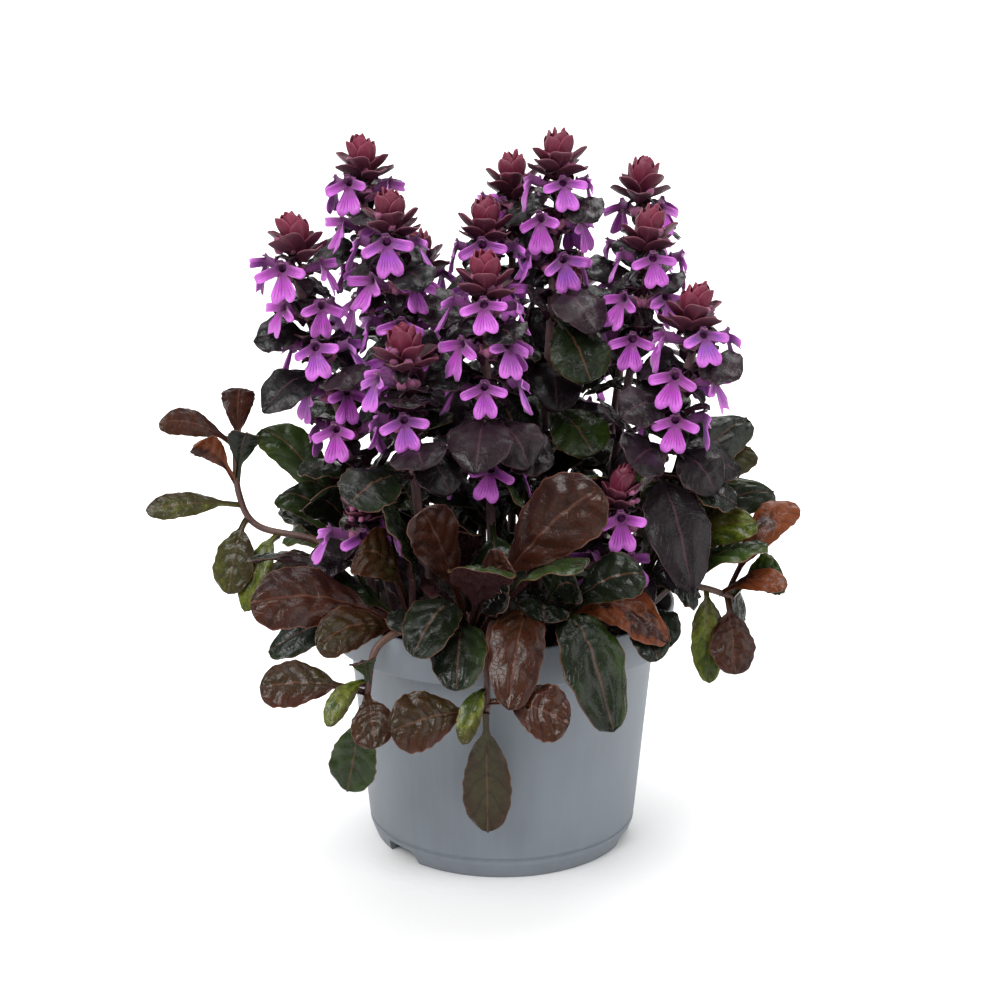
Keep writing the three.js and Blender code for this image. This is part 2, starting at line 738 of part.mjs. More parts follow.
function flowerShape(flower, room = 0) {
  const { across, front, down, throat } = flowerFrame(flower);
  const at = (from, x, y, z) =>
    from.clone().addScaledVector(across, x).addScaledVector(down, y).addScaledVector(front, z);
  const square = (from, radius, depth) =>
    [-135, -45, 45, 135].map((degrees, k) => {
      const angle = radians(degrees);
      return { point: at(from, radius * Math.cos(angle), -radius * Math.sin(angle), depth), turn: k / 4 };
    });
  const middle = at(throat, 0, 1, 0);
  const grow = flower.size * (1 + room / 8);
  const tube = square(flower.root, TUBE_RADIUS + room, 0);
  const mouth = square(middle, THROAT_RADIUS + room, -THROAT_DEPTH - room);
  const lip = LIP.map(([x, y]) => {
    const turn = (Math.atan2(LIP_CENTRE - y, x) / (2 * Math.PI) + 1.375) % 1;
    const curl = LIP_CURL * Math.max(0, y - 5) ** 1.6;
    return { point: at(throat, x * grow, (y - LIP_CENTRE) * grow + LIP_CENTRE, curl), turn };
  });
  return { loops: [tube, mouth, lip], tip: at(throat, 0, LIP_CENTRE, LIP_SWELL + room) };
}

const shapeOf = (item, room) => (item.kind === "flower" ? flowerShape : leafShape)(item, room);

// Bends an item: yaw and pitch in degrees about its root, and a share of its size.
function bent(item, [yaw, pitch, scale]) {
  const isFlower = item.kind === "flower";
  const side = isFlower ? new THREE.Vector3(item.out.y, -item.out.x, 0).normalize() : item.side;
  const turn = new THREE.Quaternion().setFromAxisAngle(UP, radians(yaw));
  turn.multiply(new THREE.Quaternion().setFromAxisAngle(side, radians(pitch)));
  const turned = (v) => v.clone().applyQuaternion(turn);
  if (isFlower) return { ...item, out: turned(item.out), size: item.size * scale };
  const place = (p) => turned(p.clone().sub(item.root).multiplyScalar(scale)).add(item.root);
  return { ...item, control: place(item.control), tip: place(item.tip), side: turned(side) };
}

// The bud at the tip of a flowering stem: crowns of four pointed scales, each scale over a valley
// of the crown below. It grows from the ring at the end of the stem. A tip and a valley have a
// reach from the axis and a depth under the top.
const BUD_RINGS = [
  { tip: [11.5, 10], valley: [3.4, 14.5] },
  { tip: [7.6, 4], valley: [3.2, 9.5] },
  { tip: [3.6, 0.6], valley: [2.2, 4.6] },
];

function budShape(stem, turn) {
  const top = vec(stem.tip);
  const lean = stemPoint(stem, 1).sub(stemPoint(stem, 0.9)).normalize();
  const wide = stem.bud ?? 1;
  const loops = BUD_RINGS.map(({ tip, valley }, k) =>
    Array.from({ length: 8 }, (_, i) => {
      const [reach, below] = i % 2 === k % 2 ? tip : valley;
      const axis = top.clone().addScaledVector(lean, -below);
      return { point: axis.addScaledVector(around(turn + 45 * (i - 1)), reach * wide), turn: i / 8 };
    }),
  );
  return { loops, tip: top.addScaledVector(lean, -1) };
}

// Plants. Each has a stalk, a hole in the soil and items that grow from faces of the stalk.

// A flowering stem's line: z grows evenly with the share t of its length.
function stemPoint(stem, t) {
  const foot = new THREE.Vector3(...stem.foot, SOIL_LEVEL - ROOT_DEPTH);
  const top = vec(stem.tip).sub(new THREE.Vector3(0, 0, HEAD));
  const lean = foot.clone().lerp(top, 0.4);
  lean.z = (foot.z + top.z) / 2;
  return new THREE.QuadraticBezierCurve3(foot, lean, top).getPoint(t);
}

function floweringStem(stem, seed) {
  const random = seeded(seed);
  const foot = SOIL_LEVEL - ROOT_DEPTH;
  const height = stem.tip[2] - HEAD - foot;
  const share = (below) => (stem.tip[2] - below - foot) / height;
  const stalk = {
    line: (t) => stemPoint(stem, t),
    radius: (t) => STEM_RADIUS - 0.4 * t,
    axes: () => [around(0), around(90)],
    sides: 4,
    turn: stem.face,
    half: BAND / height,
    plain: [0, 1],
    sunk: [0, (ROOT_DEPTH + 4) / height],
    bands: [],
  };
  const items = [];
  const leafOn = (band, face, elevation, length, rest) => {
    const azimuth = faceTurn(stalk, band, face) + 14 * (random() - 0.5);
    const leaf = leafAlong(faceRoot(stalk, band, face), azimuth, elevation, length, rest.bow);
    items.push({ ...rest, band, face, ...leaf });
  };
  stem.blooms.forEach((blooms, k) => {
    const below = FIRST_WHORL + WHORL_STEP * k;
    const turn = stem.face + 45 * (k % 2) + 12 * (random() - 0.5);
    const blooming = { t: share(below + 2.8), turn, blooming: true };
    const leafy = { t: share(below + BRACT_DROP), turn: turn + 45 };
    stalk.bands.push(blooming, leafy);
    for (const face of [0, 3, 1].slice(0, blooms)) {
      const azimuth = faceTurn(stalk, blooming, face) + 8 * (random() - 0.5);
      const tilt = radians(16 + 14 * random());
      const out = around(azimuth).multiplyScalar(Math.cos(tilt)).addScaledVector(UP, Math.sin(tilt));
      const rest = { size: 0.98 + 0.14 * random(), nod: radians(2 + 20 * random()), group: "bloom" };
      const root = faceRoot(stalk, blooming, face);
      items.push({ kind: "flower", band: blooming, face, root, out, ...rest });
    }
    for (const face of [0, 2]) {
      const length = 21 + 1.4 * k + 3 * random();
      const droop = 18 * Math.max(0, -Math.sin(radians(faceTurn(stalk, leafy, face))));
      const rest = { kind: "bract", width: length * 0.78, bow: 0.34, group: "bract" };
      leafOn(leafy, face, -14 - 4 * k + 10 * (random() - 0.5) - droop, length, rest);
    }
  });
  for (let k = 0; k < stem.pairs; k++) {
    const below = FIRST_WHORL + WHORL_STEP * stem.blooms.length + PAIR_DROP + PAIR_STEP * k;
    const band = { t: share(below), turn: stem.face + 90 * k + 20 };
    stalk.bands.push(band);
    for (const face of [0, 2]) {
      const length = 30 + 8 * random();
      const rest = { kind: "small", width: length * 0.6, bow: 0.22, group: "stem_leaf" };
      const droop = 35 * Math.max(0, -Math.sin(radians(faceTurn(stalk, band, face))));
      leafOn(band, face, 14 - 30 * random() - droop, length, rest);
    }
  }
  const leafBands = stalk.bands.filter((band) => !band.blooming);
  const taken = items.map(({ band, face }) => ({ band, face }));
  for (const leaf of stem.leaves ?? []) {
    const offset = (band) => Math.abs(foot + band.t * height - leaf.from);
    const [nearest] = leafBands.toSorted((a, b) => offset(a) - offset(b));
    const { band, face, root } = takeFace(stalk, [nearest], vec(leaf.tip), taken);
    const rest = { kind: "bract", width: leaf.width, band, face, group: "single_leaf" };
    items.push({ ...rest, ...leafBetween(root, vec(leaf.tip), { front: FACING_FRONT, ...leaf }) });
  }
  return { stalk, items, end: budShape(stem, stem.face) };
}

// Takes the free face that looks most nearly towards the leaf's tip.
function takeFace(stalk, bands, tip, taken) {
  let best = null;
  for (const band of bands) {
    for (let face = 0; face < stalk.sides; face++) {
      if (taken.some((one) => one.band === band && one.face === face)) continue;
      const root = faceRoot(stalk, band, face);
      const towards = tip.clone().sub(root).normalize();
      const wanted = THREE.MathUtils.clamp((towards.z - 0.1) * 3, 0, 2);
      const away = band.level === undefined ? 0 : Math.abs(band.level - wanted);
      const cost = 0.2 * away - faceNormal(stalk, band, face).dot(towards);
      if (!best || cost < best.cost) best = { band, face, root, cost };
    }
  }
  taken.push(best);
  return best;
}

function leafyCrown(crown, seed) {
  const random = seeded(100 + seed);
  const foot = new THREE.Vector3(...crown.foot, SOIL_LEVEL - ROOT_DEPTH);
  const height = ROOT_DEPTH + CROWN_HEIGHT;
  const share = (above) => (ROOT_DEPTH + above) / height;
  const stalk = {
    line: (t) => foot.clone().addScaledVector(UP, t * height),
    radius: (t) => CROWN_RADIUS - 0.5 * t,
    axes: () => [around(0), around(90)],
    sides: 6,
    turn: 0,
    half: BAND / height,
    plain: [0, 1],
    sunk: [0, share(4)],
    bands: [0, 1, 2].map((level) => {
      return { t: share(CROWN_FIRST + CROWN_STEP * level), turn: 30 * (level % 2), level };
    }),
  };
  const leaves = (crown.leaves ?? []).map((leaf) => ({ front: FACING_FRONT, ...leaf }));
  for (let k = 0; k < (crown.around ?? 0); k++) {
    const azimuth = crown.facing + (k - (crown.around - 1) / 2) * 42 + 16 * (random() - 0.5);
    const lift = 18 + 36 * random() + (k % 2 ? 14 : 0);
    const reach = around(azimuth).multiplyScalar(34 + 20 * random());
    const tip = [crown.foot[0] + reach.x, crown.foot[1] + reach.y, SOIL_LEVEL + lift];
    const width = 17 + 7 * random();
    leaves.push({ tip, width, rise: 12 - 0.3 * lift, roll: 30 * (random() - 0.5) });
  }
  const taken = [];
  const items = leaves.map((leaf) => {
    const { band, face, root } = takeFace(stalk, stalk.bands, vec(leaf.tip), taken);
    const rest = { kind: "spoon", width: leaf.width, band, face, group: "crown_leaf" };
    return { ...rest, ...leafBetween(root, vec(leaf.tip), leaf) };
  });
  return { stalk, items };
}

function runnerPlant(runner) {
  const curve = new THREE.CatmullRomCurve3(runner.path.map(vec), false, "catmullrom", 0.5);
  const heading = vec(runner.path.at(-1)).sub(vec(runner.path[0]));
  const across = new THREE.Vector3(heading.y, -heading.x, 0).normalize();
  const places = [...new Set(runner.leaves.map((leaf) => leaf.at))].filter((at) => at < 1);
  const stalk = {
    line: (t) => curve.getPoint(t),
    radius: (t) => RUNNER_RADIUS - 0.3 * t,
    axes: (t) => {
      const along = curve.getTangent(t);
      const first = across.clone().addScaledVector(along, -across.dot(along)).normalize();
      return [first, along.clone().cross(first)];
    },
    sides: 4,
    turn: 45,
    half: BAND / curve.getLength(),
    plain: [0, 0.13, 0.26, 0.4, 0.55, 0.7, 0.85, 1],
    sunk: [0, 0.13, 0.26],
    bands: places.map((t) => ({ t, turn: 45 })),
  };
  const taken = [];
  const items = runner.leaves.map((leaf) => {
    const tip = vec(leaf.tip);
    const bands = stalk.bands.filter((band) => band.t === leaf.at);
    const place = bands.length ? takeFace(stalk, bands, tip, taken) : { root: stalk.line(1) };
    const kind = leaf.width > 14 ? "spoon" : "small";
    const rest = { kind, width: leaf.width, band: place.band, face: place.face, group: "runner_leaf" };
    return { ...rest, ...leafBetween(place.root, tip, { front: runner.front ?? 0, ...leaf }) };
  });
  return { stalk, items };
}

const number = (i) => String(i + 1).padStart(2, "0");
const plants = [
  [FLOWERING_STEMS, "flowering_stem", 0x4a2136, floweringStem],
  [CROWNS, "leafy_crown", 0x3d3a28, leafyCrown],
  [RUNNERS, "runner", 0x5c3026, runnerPlant],
].flatMap(([rows, name, colour, grow]) =>
  rows.map((row, i) => ({ name: `${name}_${number(i)}`, colour, ...grow(row, i) })),
);

// The hole that a plant stands in follows its foot, a little wider and deeper.
function holeOf({ stalk }) {
  const wider = (FIT + 0.1) / Math.cos(Math.PI / stalk.sides);
  const radius = () => stalk.radius(0) + wider;
  const hole = { ...stalk, radius, plain: stalk.sunk, bands: [] };
  return stalkSkin(hole, []).solid().translate(0, 0, -FIT);
}

const pot = potSolid();
const soil = soilSolid(plants.map(holeOf));

// What stands in the way: solids already placed, each with the plant that it belongs to. far is
// the solid without its root, and near is as it grows from its own stalk.
const placed = [];
const apart = (a, b) => [0, 1, 2].some((i) => a.min[i] > b.max[i] || b.min[i] > a.max[i]);
const boxed = (solid) => ({ solid, box: solid.boundingBox() });
const meets = (a, b) => !apart(a.box, b.box) && !a.solid.intersect(b.solid).isEmpty();

function solidsOf({ stalk }, item, room) {
  const shape = shapeOf(item, room);
  const outer = shape.loops.slice(1);
  const middle = middleOf(outer[0].map(({ point }) => point));
  const foot = windowOf(stalk, item.band, item.face).map(({ point, turn }) => ({
    point: point.lerp(middle, OFF_STALK),
    turn,
  }));
  return {
    shape: { ...shape, loops: outer },
    whole: boxed(solidFrom(shape)),
    far: boxed(solidFrom({ ...shape, loops: outer })),
    near: boxed(solidFrom({ ...shape, loops: [foot, ...outer] })),
  };
}

function isClear(plant, roomy, real) {
  return placed.every((other) => {
    if (other.plant !== plant) return !meets(roomy.whole, other.whole);
    return !meets(real.near, other.near) && !(other.far && meets(roomy.far, other.far));
  });
}

// The first of an item's bends that is clear of all that is placed, or nothing.
function clearBend(plant, item) {
  for (const way of BENDS) {
    const candidate = bent(item, way);
    const real = solidsOf(plant, candidate, 0);
    if (!isClear(plant, solidsOf(plant, candidate, CLEAR), real)) continue;
    placed.push({ plant, ...real });
    return { band: item.band, face: item.face, shape: real.shape };
  }
  return null;
}

for (const solid of [pot, soil]) placed.push({ plant: null, whole: boxed(solid) });
for (const plant of plants) {
  plant.growths = plant.end ? [{ shape: plant.end }] : [];
  const whole = boxed(stalkSkin(plant.stalk, plant.growths).solid());
  placed.push({ plant, whole, near: whole });
}
for (const group of ["runner_leaf", "bloom", "single_leaf", "crown_leaf", "bract", "stem_leaf"]) {
  for (const plant of plants) {
    for (const item of plant.items.filter((each) => each.group === group)) {
      const growth = clearBend(plant, item);
      if (growth) plant.growths.push(growth);
    }
  }
}

// The finished model
const model = new THREE.Group();

function addNode(name, solid, colour, roughness) {
  const material = new THREE.MeshStandardMaterial({ color: colour, roughness, metalness: 0 });
  const mesh = new THREE.Mesh(geometryOf(solid), material);
  mesh.name = name;
  model.add(mesh);
}

addNode("pot", pot, 0x8f99a3, 0.5);
addNode("soil", soil, 0x2b211b, 0.95);
for (const { name, stalk, growths, colour } of plants) {
  addNode(name, stalkSkin(stalk, growths).solid(), colour, 0.45);
}

export default model;
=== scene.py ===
"""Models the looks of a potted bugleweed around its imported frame."""

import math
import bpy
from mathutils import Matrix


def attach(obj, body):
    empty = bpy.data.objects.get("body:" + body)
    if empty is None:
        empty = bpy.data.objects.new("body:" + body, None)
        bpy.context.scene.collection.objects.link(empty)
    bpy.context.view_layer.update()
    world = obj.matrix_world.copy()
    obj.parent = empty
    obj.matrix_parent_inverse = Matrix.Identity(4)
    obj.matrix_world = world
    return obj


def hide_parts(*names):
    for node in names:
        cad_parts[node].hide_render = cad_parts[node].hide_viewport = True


bl_info = {
    "name": "Potted Bugleweed",
    "version": (1, 0, 0),
    "blender": (4, 5, 0),
    "location": "3D View > Sidebar > Bugleweed",
    "description": "Models a flowering bugleweed in a nursery pot, and the stage that it stands on",
    "category": "Object",
}

from contextlib import contextmanager
from typing import NamedTuple

import bpy
import numpy as np
from bpy.props import FloatProperty, FloatVectorProperty, IntProperty, PointerProperty
from mathutils import Quaternion, Vector, noise
from mathutils.kdtree import KDTree

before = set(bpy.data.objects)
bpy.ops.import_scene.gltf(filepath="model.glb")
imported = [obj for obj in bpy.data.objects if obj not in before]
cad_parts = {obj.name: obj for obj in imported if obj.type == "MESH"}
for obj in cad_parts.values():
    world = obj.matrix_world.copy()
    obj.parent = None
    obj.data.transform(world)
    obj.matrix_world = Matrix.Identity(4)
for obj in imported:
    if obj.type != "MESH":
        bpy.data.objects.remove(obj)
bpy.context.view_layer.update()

MM = 0.001  # lengths below are in millimetres, and Blender's are in metres
BODY = "root"
UP = Vector((0, 0, 1))
FRONT = Vector((0, -1, 0))

# Pot
POT_HEIGHT = 92
RIM_RADIUS = 65
COLLAR_FOOT = 77  # height of the collar's lower edge
COLLAR_TAPER = 0.8  # how much narrower the collar is at its foot than at the rim
WALL_FOOT = 6
WALL_TOP_RADIUS = 57.6
WALL_FOOT_RADIUS = 51.2
WALL = 1.4
FLOOR = 5.5  # height of the floor's underside
PAD_RADIUS = 9
FOOT_INSIDE = 47.2  # inner radius of the foot ring
NOTCH_ANGLES = (-138, -20, 100)
NOTCH_WIDTH = 17
NOTCH_START = 42  # how far from the pot's axis the notches start
CUT_DEPTH = 12  # of the shapes that cut the notches and drain holes
DRAIN_HOLES = 6
DRAIN_RADIUS = 3.5
DRAIN_CIRCLE = 38  # radius of the circle that the drain holes stand on

# Soil
SOIL_LEVEL = 84
SOIL_RINGS = 30  # rings of vertices on top of the soil
SOIL_GAP = 0.6  # between the soil and the pot
CRUMB_SPREAD = 0.97  # how much of the soil's radius has crumbs

# Stalks: each one starts in the soil
ROOT_DEPTH = 5
STALK_BOTTOM = SOIL_LEVEL - ROOT_DEPTH
STEM_RADIUS = 1.8
STEM_TAPER = 0.4
STEM_LEAN = 0.4  # how much of its lean a stem has halfway up
CROWN_RADIUS = 2.8
CROWN_TAPER = 0.5
CROWN_HEIGHT = 12.6
CROWN_FIRST = 2.6  # height of the first leaves over the soil, and of each next ring over the last
CROWN_STEP = 3.6
RUNNER_RADIUS = 1.5
RUNNER_TAPER = 0.3

# Heights on a flowering stem, measured down from its tip
HEAD = 17  # the bud at the tip, where the stalk ends
FIRST_WHORL = 19
WHORL_STEP = 14.5
BLOOM_DROP = 2.8  # of a whorl's flowers under its top, and of its bracts
BRACT_DROP = 11.5
PAIR_DROP = 6  # of the first pair of lower leaves under the last whorl
PAIR_STEP = 17

# Leaves and flowers
FACING_FRONT = 0.9  # how much a leaf looks to the front and outwards, next to upwards
FACING_OUT = 0.35
BLOOM_FACES = (0, 3, 1)  # sides of a stem that bloom
PAIR_FACES = (0, 2)  # sides of a stem that carry a pair of leaves
PAIR_TURN = 20
BRACT_DROOP = 18  # degrees that a leaf at the front hangs more than one at the side
LEAF_DROOP = 35
BRACT_HABIT = ("bract", 0.78, 0.34)  # kind, width and bow next to the length
LEAF_HABIT = ("small", 0.6, 0.22)
CROWN_SPREAD = 42  # degrees from one drawn leaf of a crown to the next
SMALL_WIDTH = 14  # width of a runner's largest leaf of the small kind
TUBE_LENGTH = 9.5
LIP_CENTRE = 2  # how far the middle of the lip lies under the throat, and in front of it
LIP_SWELL = 0.6
MATCH = 0.08  # how near a leaf's tip lies to the corner that the frame has there

# Where the random numbers of each kind start
CROWN_LAYOUT_SEED = 100
STEM_SEED = 300
CROWN_SEED = 400
RUNNER_SEED = 500
CRUMB_SEED = 900
FLOWER_SEED = 11
LEAF_SEEDS = (7, 10, 13)  # one for each form of a kind of leaf

# Shades of a leaf: its place on the ramp from near black over green and bronze to orange
BLACK = 0.02
DARK = 0.12
DEEP = 0.2
GREEN = 0.28
LIME = 0.4
OLIVE = 0.5
UMBER = 0.56
BRONZE = 0.62
RUSSET = 0.74
MAROON = 0.8
ORANGE = 0.98

# Flowering stems: foot on the soil, tip, blooms in each whorl from the top down, the way that
# they face in degrees, pairs of leaves under them, how wide the bud at the top is next to the
# others, and single leaves: how high each one grows, its tip, its width and its arch.
FLOWERING_STEMS = (
    ((-31, 23), (-53, 26, 262), (3, 3, 3, 3), -105, 2, 1, (
        (179, (-58, 9, 176), 19, -9),
        (231, (-44, 45, 243), 18, 7),
    )),
    ((-24, 2), (-41, 0, 243), (3, 3, 3, 3), -90, 2, 1, ()),
    ((-37, -15), (-76, -5, 235), (3, 3, 3, 3, 3), -100, 1, 1, (
        (205, (-63, -1, 206), 15, 6),
        (190, (-70, 17, 189), 18, 4),
        (176, (-84, -26, 166), 19, 7),
    )),
    ((-8, 16), (-6, 20, 240), (3, 3, 3), -90, 3, 1, ()),
    ((4, 36), (4, 46, 256), (3, 3, 3), 90, 3, 1, ()),
    ((13, 10), (21, 20, 264), (3, 3, 3), -80, 3, 1, (
        (205, (34, -8, 192), 21, 4),
        (184, (20, -12, 164), 21, 2),
        (233, (22, 37, 240), 19, 3),
        (196, (11, 4, 202), 14, 5),
    )),
    ((36, 33), (55, 45, 254), (3, 3, 3), 40, 3, 1, ((209, (32, 29, 209), 16, 7),)),
    ((34, 4), (55, 10, 237), (3, 3, 3), -90, 3, 1, (
        (178, (72, 10, 171), 18, 1),
        (192, (59, 25, 190), 14, 7),
        (152, (40, -17, 161), 19, 6),
    )),
    ((42, -20), (70, -15, 211), (3, 3, 3), -80, 1, 1, (
        (150, (34, -40, 149), 20, 4),
        (151, (88, -34, 150), 20, 4),
        (132, (65, -52, 108), 24, 0),
        (181, (68, 12, 180), 18, 5),
    )),
    ((-3, -23), (-6, -22, 223), (3, 3, 3, 0, 3), -90, 1, 1, ((164, (-9, -49, 149), 23, 3),)),
    ((-26, -28), (-34, -34, 199), (2, 2), -150, 3, 1, ((154, (-30, -57, 152), 21, 6),)),
    ((30, -33), (44, -34, 150), (2, 2), -100, 1, 0.7, ()),
    ((-44, -24), (-50, -38, 145), (3,), -80, 1, 0.7, ()),
    ((-20, 44), (-34, 62, 226), (3, 3, 3, 3), 110, 2, 1, ()),
    ((22, 50), (30, 72, 216), (3, 3, 3, 3), 75, 2, 1, ()),
)

# Crowns: foot on the soil, each leaf's tip, width, arch, turn and shade, then how many more
# leaves stand around the side that the crown faces.
CROWNS = (
    ((-30, -41), (
        ((-85, -62, 107), 24, 6, 0, MAROON),
        ((-66, -64, 94), 17, 12, 0, BRONZE),
        ((-82, -45, 84), 16, 18, 0, DARK),
        ((-31, -70, 90), 20, 18, 0, BLACK),
        ((-64, -47, 126), 20, 8, 0, BRONZE),
    ), 3, 200),
    ((-12, -39), (
        ((-15, -84, 84), 19, 24, 0, DARK),
        ((-36, -85, 80), 18, 23, 0, DARK),
        ((-35, -54, 143), 19, -16, 0, MAROON),
        ((33, -57, 146), 27, -14, 0, MAROON),
        ((3, -60, 120), 14, 0, 0, MAROON),
        ((-14, -60, 112), 16, 4, 0, DARK),
        ((2, -72, 113), 17, 0, 0, BLACK),
    ), 3, 260),
    ((14, -41), (
        ((31, -80, 67), 24, 34, -10, DEEP),
        ((53, -65, 93), 20, 24, -15, ORANGE),
        ((22, -52, 119), 18, -2, 0, DARK),
        ((48, -60, 117), 18, 0, 0, DARK),
        ((2, -83, 77), 19, 36, 0, RUSSET),
        ((13, -66, 98), 18, 12, 0, DARK),
        ((26, -62, 112), 16, 6, 0, DARK),
        ((45, -46, 102), 13, 0, 0, DARK),
    ), 3, 280),
    ((45, -30), (
        ((42, -66, 92), 14, 18, 30, DARK),
        ((68, -46, 104), 24, 26, 0, BLACK),
        ((60, -54, 86), 16, 16, 0, DARK),
        ((68, -32, 140), 20, 2, 0, DARK),
        ((91, 6, 158), 19, -3, 0, DARK),
    ), 3, 320),
    ((50, -4), (
        ((92, 0, 148), 20, 2, 0, OLIVE),
        ((102, -6, 131), 17, 6, 0, DEEP),
        ((91, -25, 126), 16, 2, 0, LIME),
        ((84, 20, 104), 18, 20, 0, GREEN),
        ((86, 14, 128), 18, 8, 0, OLIVE),
    ), 3, 10),
    ((-49, 3), (
        ((-90, 8, 154), 17, -4, 0, GREEN),
        ((-83, 2, 131), 16, 6, 0, DEEP),
        ((-84, 26, 108), 18, 16, 0, GREEN),
        ((-68, -26, 134), 18, 4, 0, DARK),
        ((-88, -18, 98), 17, 20, 0, OLIVE),
        ((-96, -29, 144), 19, -4, 0, GREEN),
    ), 3, 170),
    ((44, 24), (), 9, 30),
    ((6, 53), (), 9, 90),
    ((-42, 32), (), 9, 145),
    ((14, -12), (), 8, 280),
    ((-12, -10), (), 8, 230),
)

# Runners: how much their leaves look to the front, the points that each one follows, and each
# leaf's place along it, tip, width, arch, turn and shade.
RUNNERS = (
    (1.4, (
        (-47, -12, 79), (-50, -13, 104), (-68, -12, 116), (-90, -9, 121), (-97, -7, 133), (-98, -5, 150)
    ), (
        (1.0, (-124, -12, 160), 11, 3, 0, RUSSET),
        (0.96, (-96, 1, 171), 12.5, 0, 30, MAROON),
        (0.86, (-111, -16, 152), 10, 2, -20, ORANGE),
        (0.86, (-92, -12, 156), 12, 0, 40, DARK),
        (0.74, (-130, -14, 128), 10.5, 3, 0, OLIVE),
        (0.66, (-100, -20, 98), 16, -3, 0, OLIVE),
        (0.52, (-92, -24, 92), 12, -2, 0, LIME),
    )),
    (1.4, ((-23, -50, 79), (-27, -54, 96), (-42, -65, 93), (-46, -70, 75)), (
        (0.95, (-81, -73, 81), 17, 4, 10, BRONZE),
        (0.89, (-47, -75, 90), 9, 2, 0, GREEN),
        (0.89, (-58, -82, 71), 8, 3, 0, LIME),
        (0.95, (-42, -84, 64), 15, 0, 0, BRONZE),
        (1.0, (-53, -68, 42), 17, -14, 0, GREEN),
    )),
    (1.4, ((-3, -50, 79), (-3, -53, 97), (-5, -70, 93), (-5, -76, 74)), (
        (1.0, (-38, -82, 71), 20, 3, 0, BRONZE),
        (0.95, (22, -83, 72), 19, 3, 0, RUSSET),
        (0.95, (-5, -66, 26), 17, -19, 0, UMBER),
        (0.89, (-13, -88, 67), 8, 2, 0, LIME),
    )),
    (1.4, ((49, -17, 79), (53, -19, 102), (72, -21, 101), (84, -20, 97)), (
        (1.0, (101, -30, 107), 16, 4, 0, GREEN),
        (0.95, (84, -34, 72), 17, -6, 0, RUSSET),
        (0.95, (108, -8, 129), 14, -2, -20, ORANGE),
        (0.89, (92, -12, 85), 11, 4, 0, DARK),
        (0.89, (109, -20, 105), 9, 4, 0, ORANGE),
        (0.72, (75, -32, 68), 13, -4, 0, LIME),
    )),
    (0, ((34, 43, 79), (37, 47, 99), (48, 64, 100), (56, 80, 92)), (
        (1.0, (70, 104, 98), 15, 4, 0, BRONZE),
        (0.95, (40, 98, 84), 15, 6, 0, GREEN),
        (0.89, (86, 84, 84), 15, 6, 0, RUSSET),
        (0.95, (60, 86, 60), 14, 8, 0, OLIVE),
        (0.7, (66, 68, 120), 12, -2, 0, DARK),
    )),
    (0, ((-31, 46, 79), (-34, 50, 99), (-48, 66, 101), (-62, 78, 96)), (
        (1.0, (-88, 90, 104), 15, 4, 0, RUSSET),
        (0.95, (-54, 102, 90), 15, 6, 0, GREEN),
        (0.89, (-84, 68, 82), 14, 6, 0, BRONZE),
        (0.95, (-62, 80, 64), 14, 8, 0, OLIVE),
        (0.7, (-66, 64, 124), 12, -2, 0, DARK),
    )),
)

# Ways that a leaf or flower may be bent clear: yaw and pitch in degrees about its root, and a
# share of its length.
BENDS = (
    (0, 0, 1), (9, 0, 1), (-9, 0, 1), (0, 9, 1), (0, -9, 1),
    (17, 5, 0.95), (-17, 5, 0.95), (17, -8, 0.95), (-17, -8, 0.95), (0, 20, 0.92),
    (30, 8, 0.9), (-30, 8, 0.9), (0, 34, 0.85), (45, 15, 0.85), (-45, 15, 0.85),
    (0, -22, 0.9), (25, -20, 0.85), (-25, -20, 0.85), (60, 0, 0.8), (-60, 0, 0.8), (0, 50, 0.75),
)


# Layout


def seeded(seed):
    """Random numbers from 0 to 1, the same on every run for the same seed."""
    state = seed * 7919 + 17

    def draw():
        nonlocal state
        state = state * 16807 % 2147483647
        return state / 2147483647

    return draw


def jitter(random, span):
    """A random number within half the span of 0."""
    return span * (random() - 0.5)


def around(azimuth):
    """The level direction at an azimuth, in degrees."""
    angle = math.radians(azimuth)
    return Vector((math.cos(angle), math.sin(angle), 0))


def raised(azimuth, elevation):
    """The direction at an azimuth and an elevation over the ground, in degrees."""
    angle = math.radians(elevation)
    return around(azimuth) * math.cos(angle) + UP * math.sin(angle)


def level(direction):
    """A direction without its rise."""
    return Vector((direction.x, direction.y, 0)).normalized()


def bezier(root, control, tip, t):
    return root * (1 - t) ** 2 + control * 2 * t * (1 - t) + tip * t**2


def smooth_path(points):
    """A curve through points, whose parameter runs evenly from point to point."""
    points = [Vector(p) for p in points]
    points = [2 * points[0] - points[1], *points, 2 * points[-1] - points[-2]]

    def at(t):
        place = min(max(t, 0), 1) * (len(points) - 3)
        k = min(int(place), len(points) - 4)
        w = place - k
        a, b, c, d = points[k : k + 4]
        start = (c - a) * 0.5
        end = (d - b) * 0.5
        return b + start * w + (3 * (c - b) - 2 * start - end) * w**2 + (2 * (b - c) + start + end) * w**3

    return at


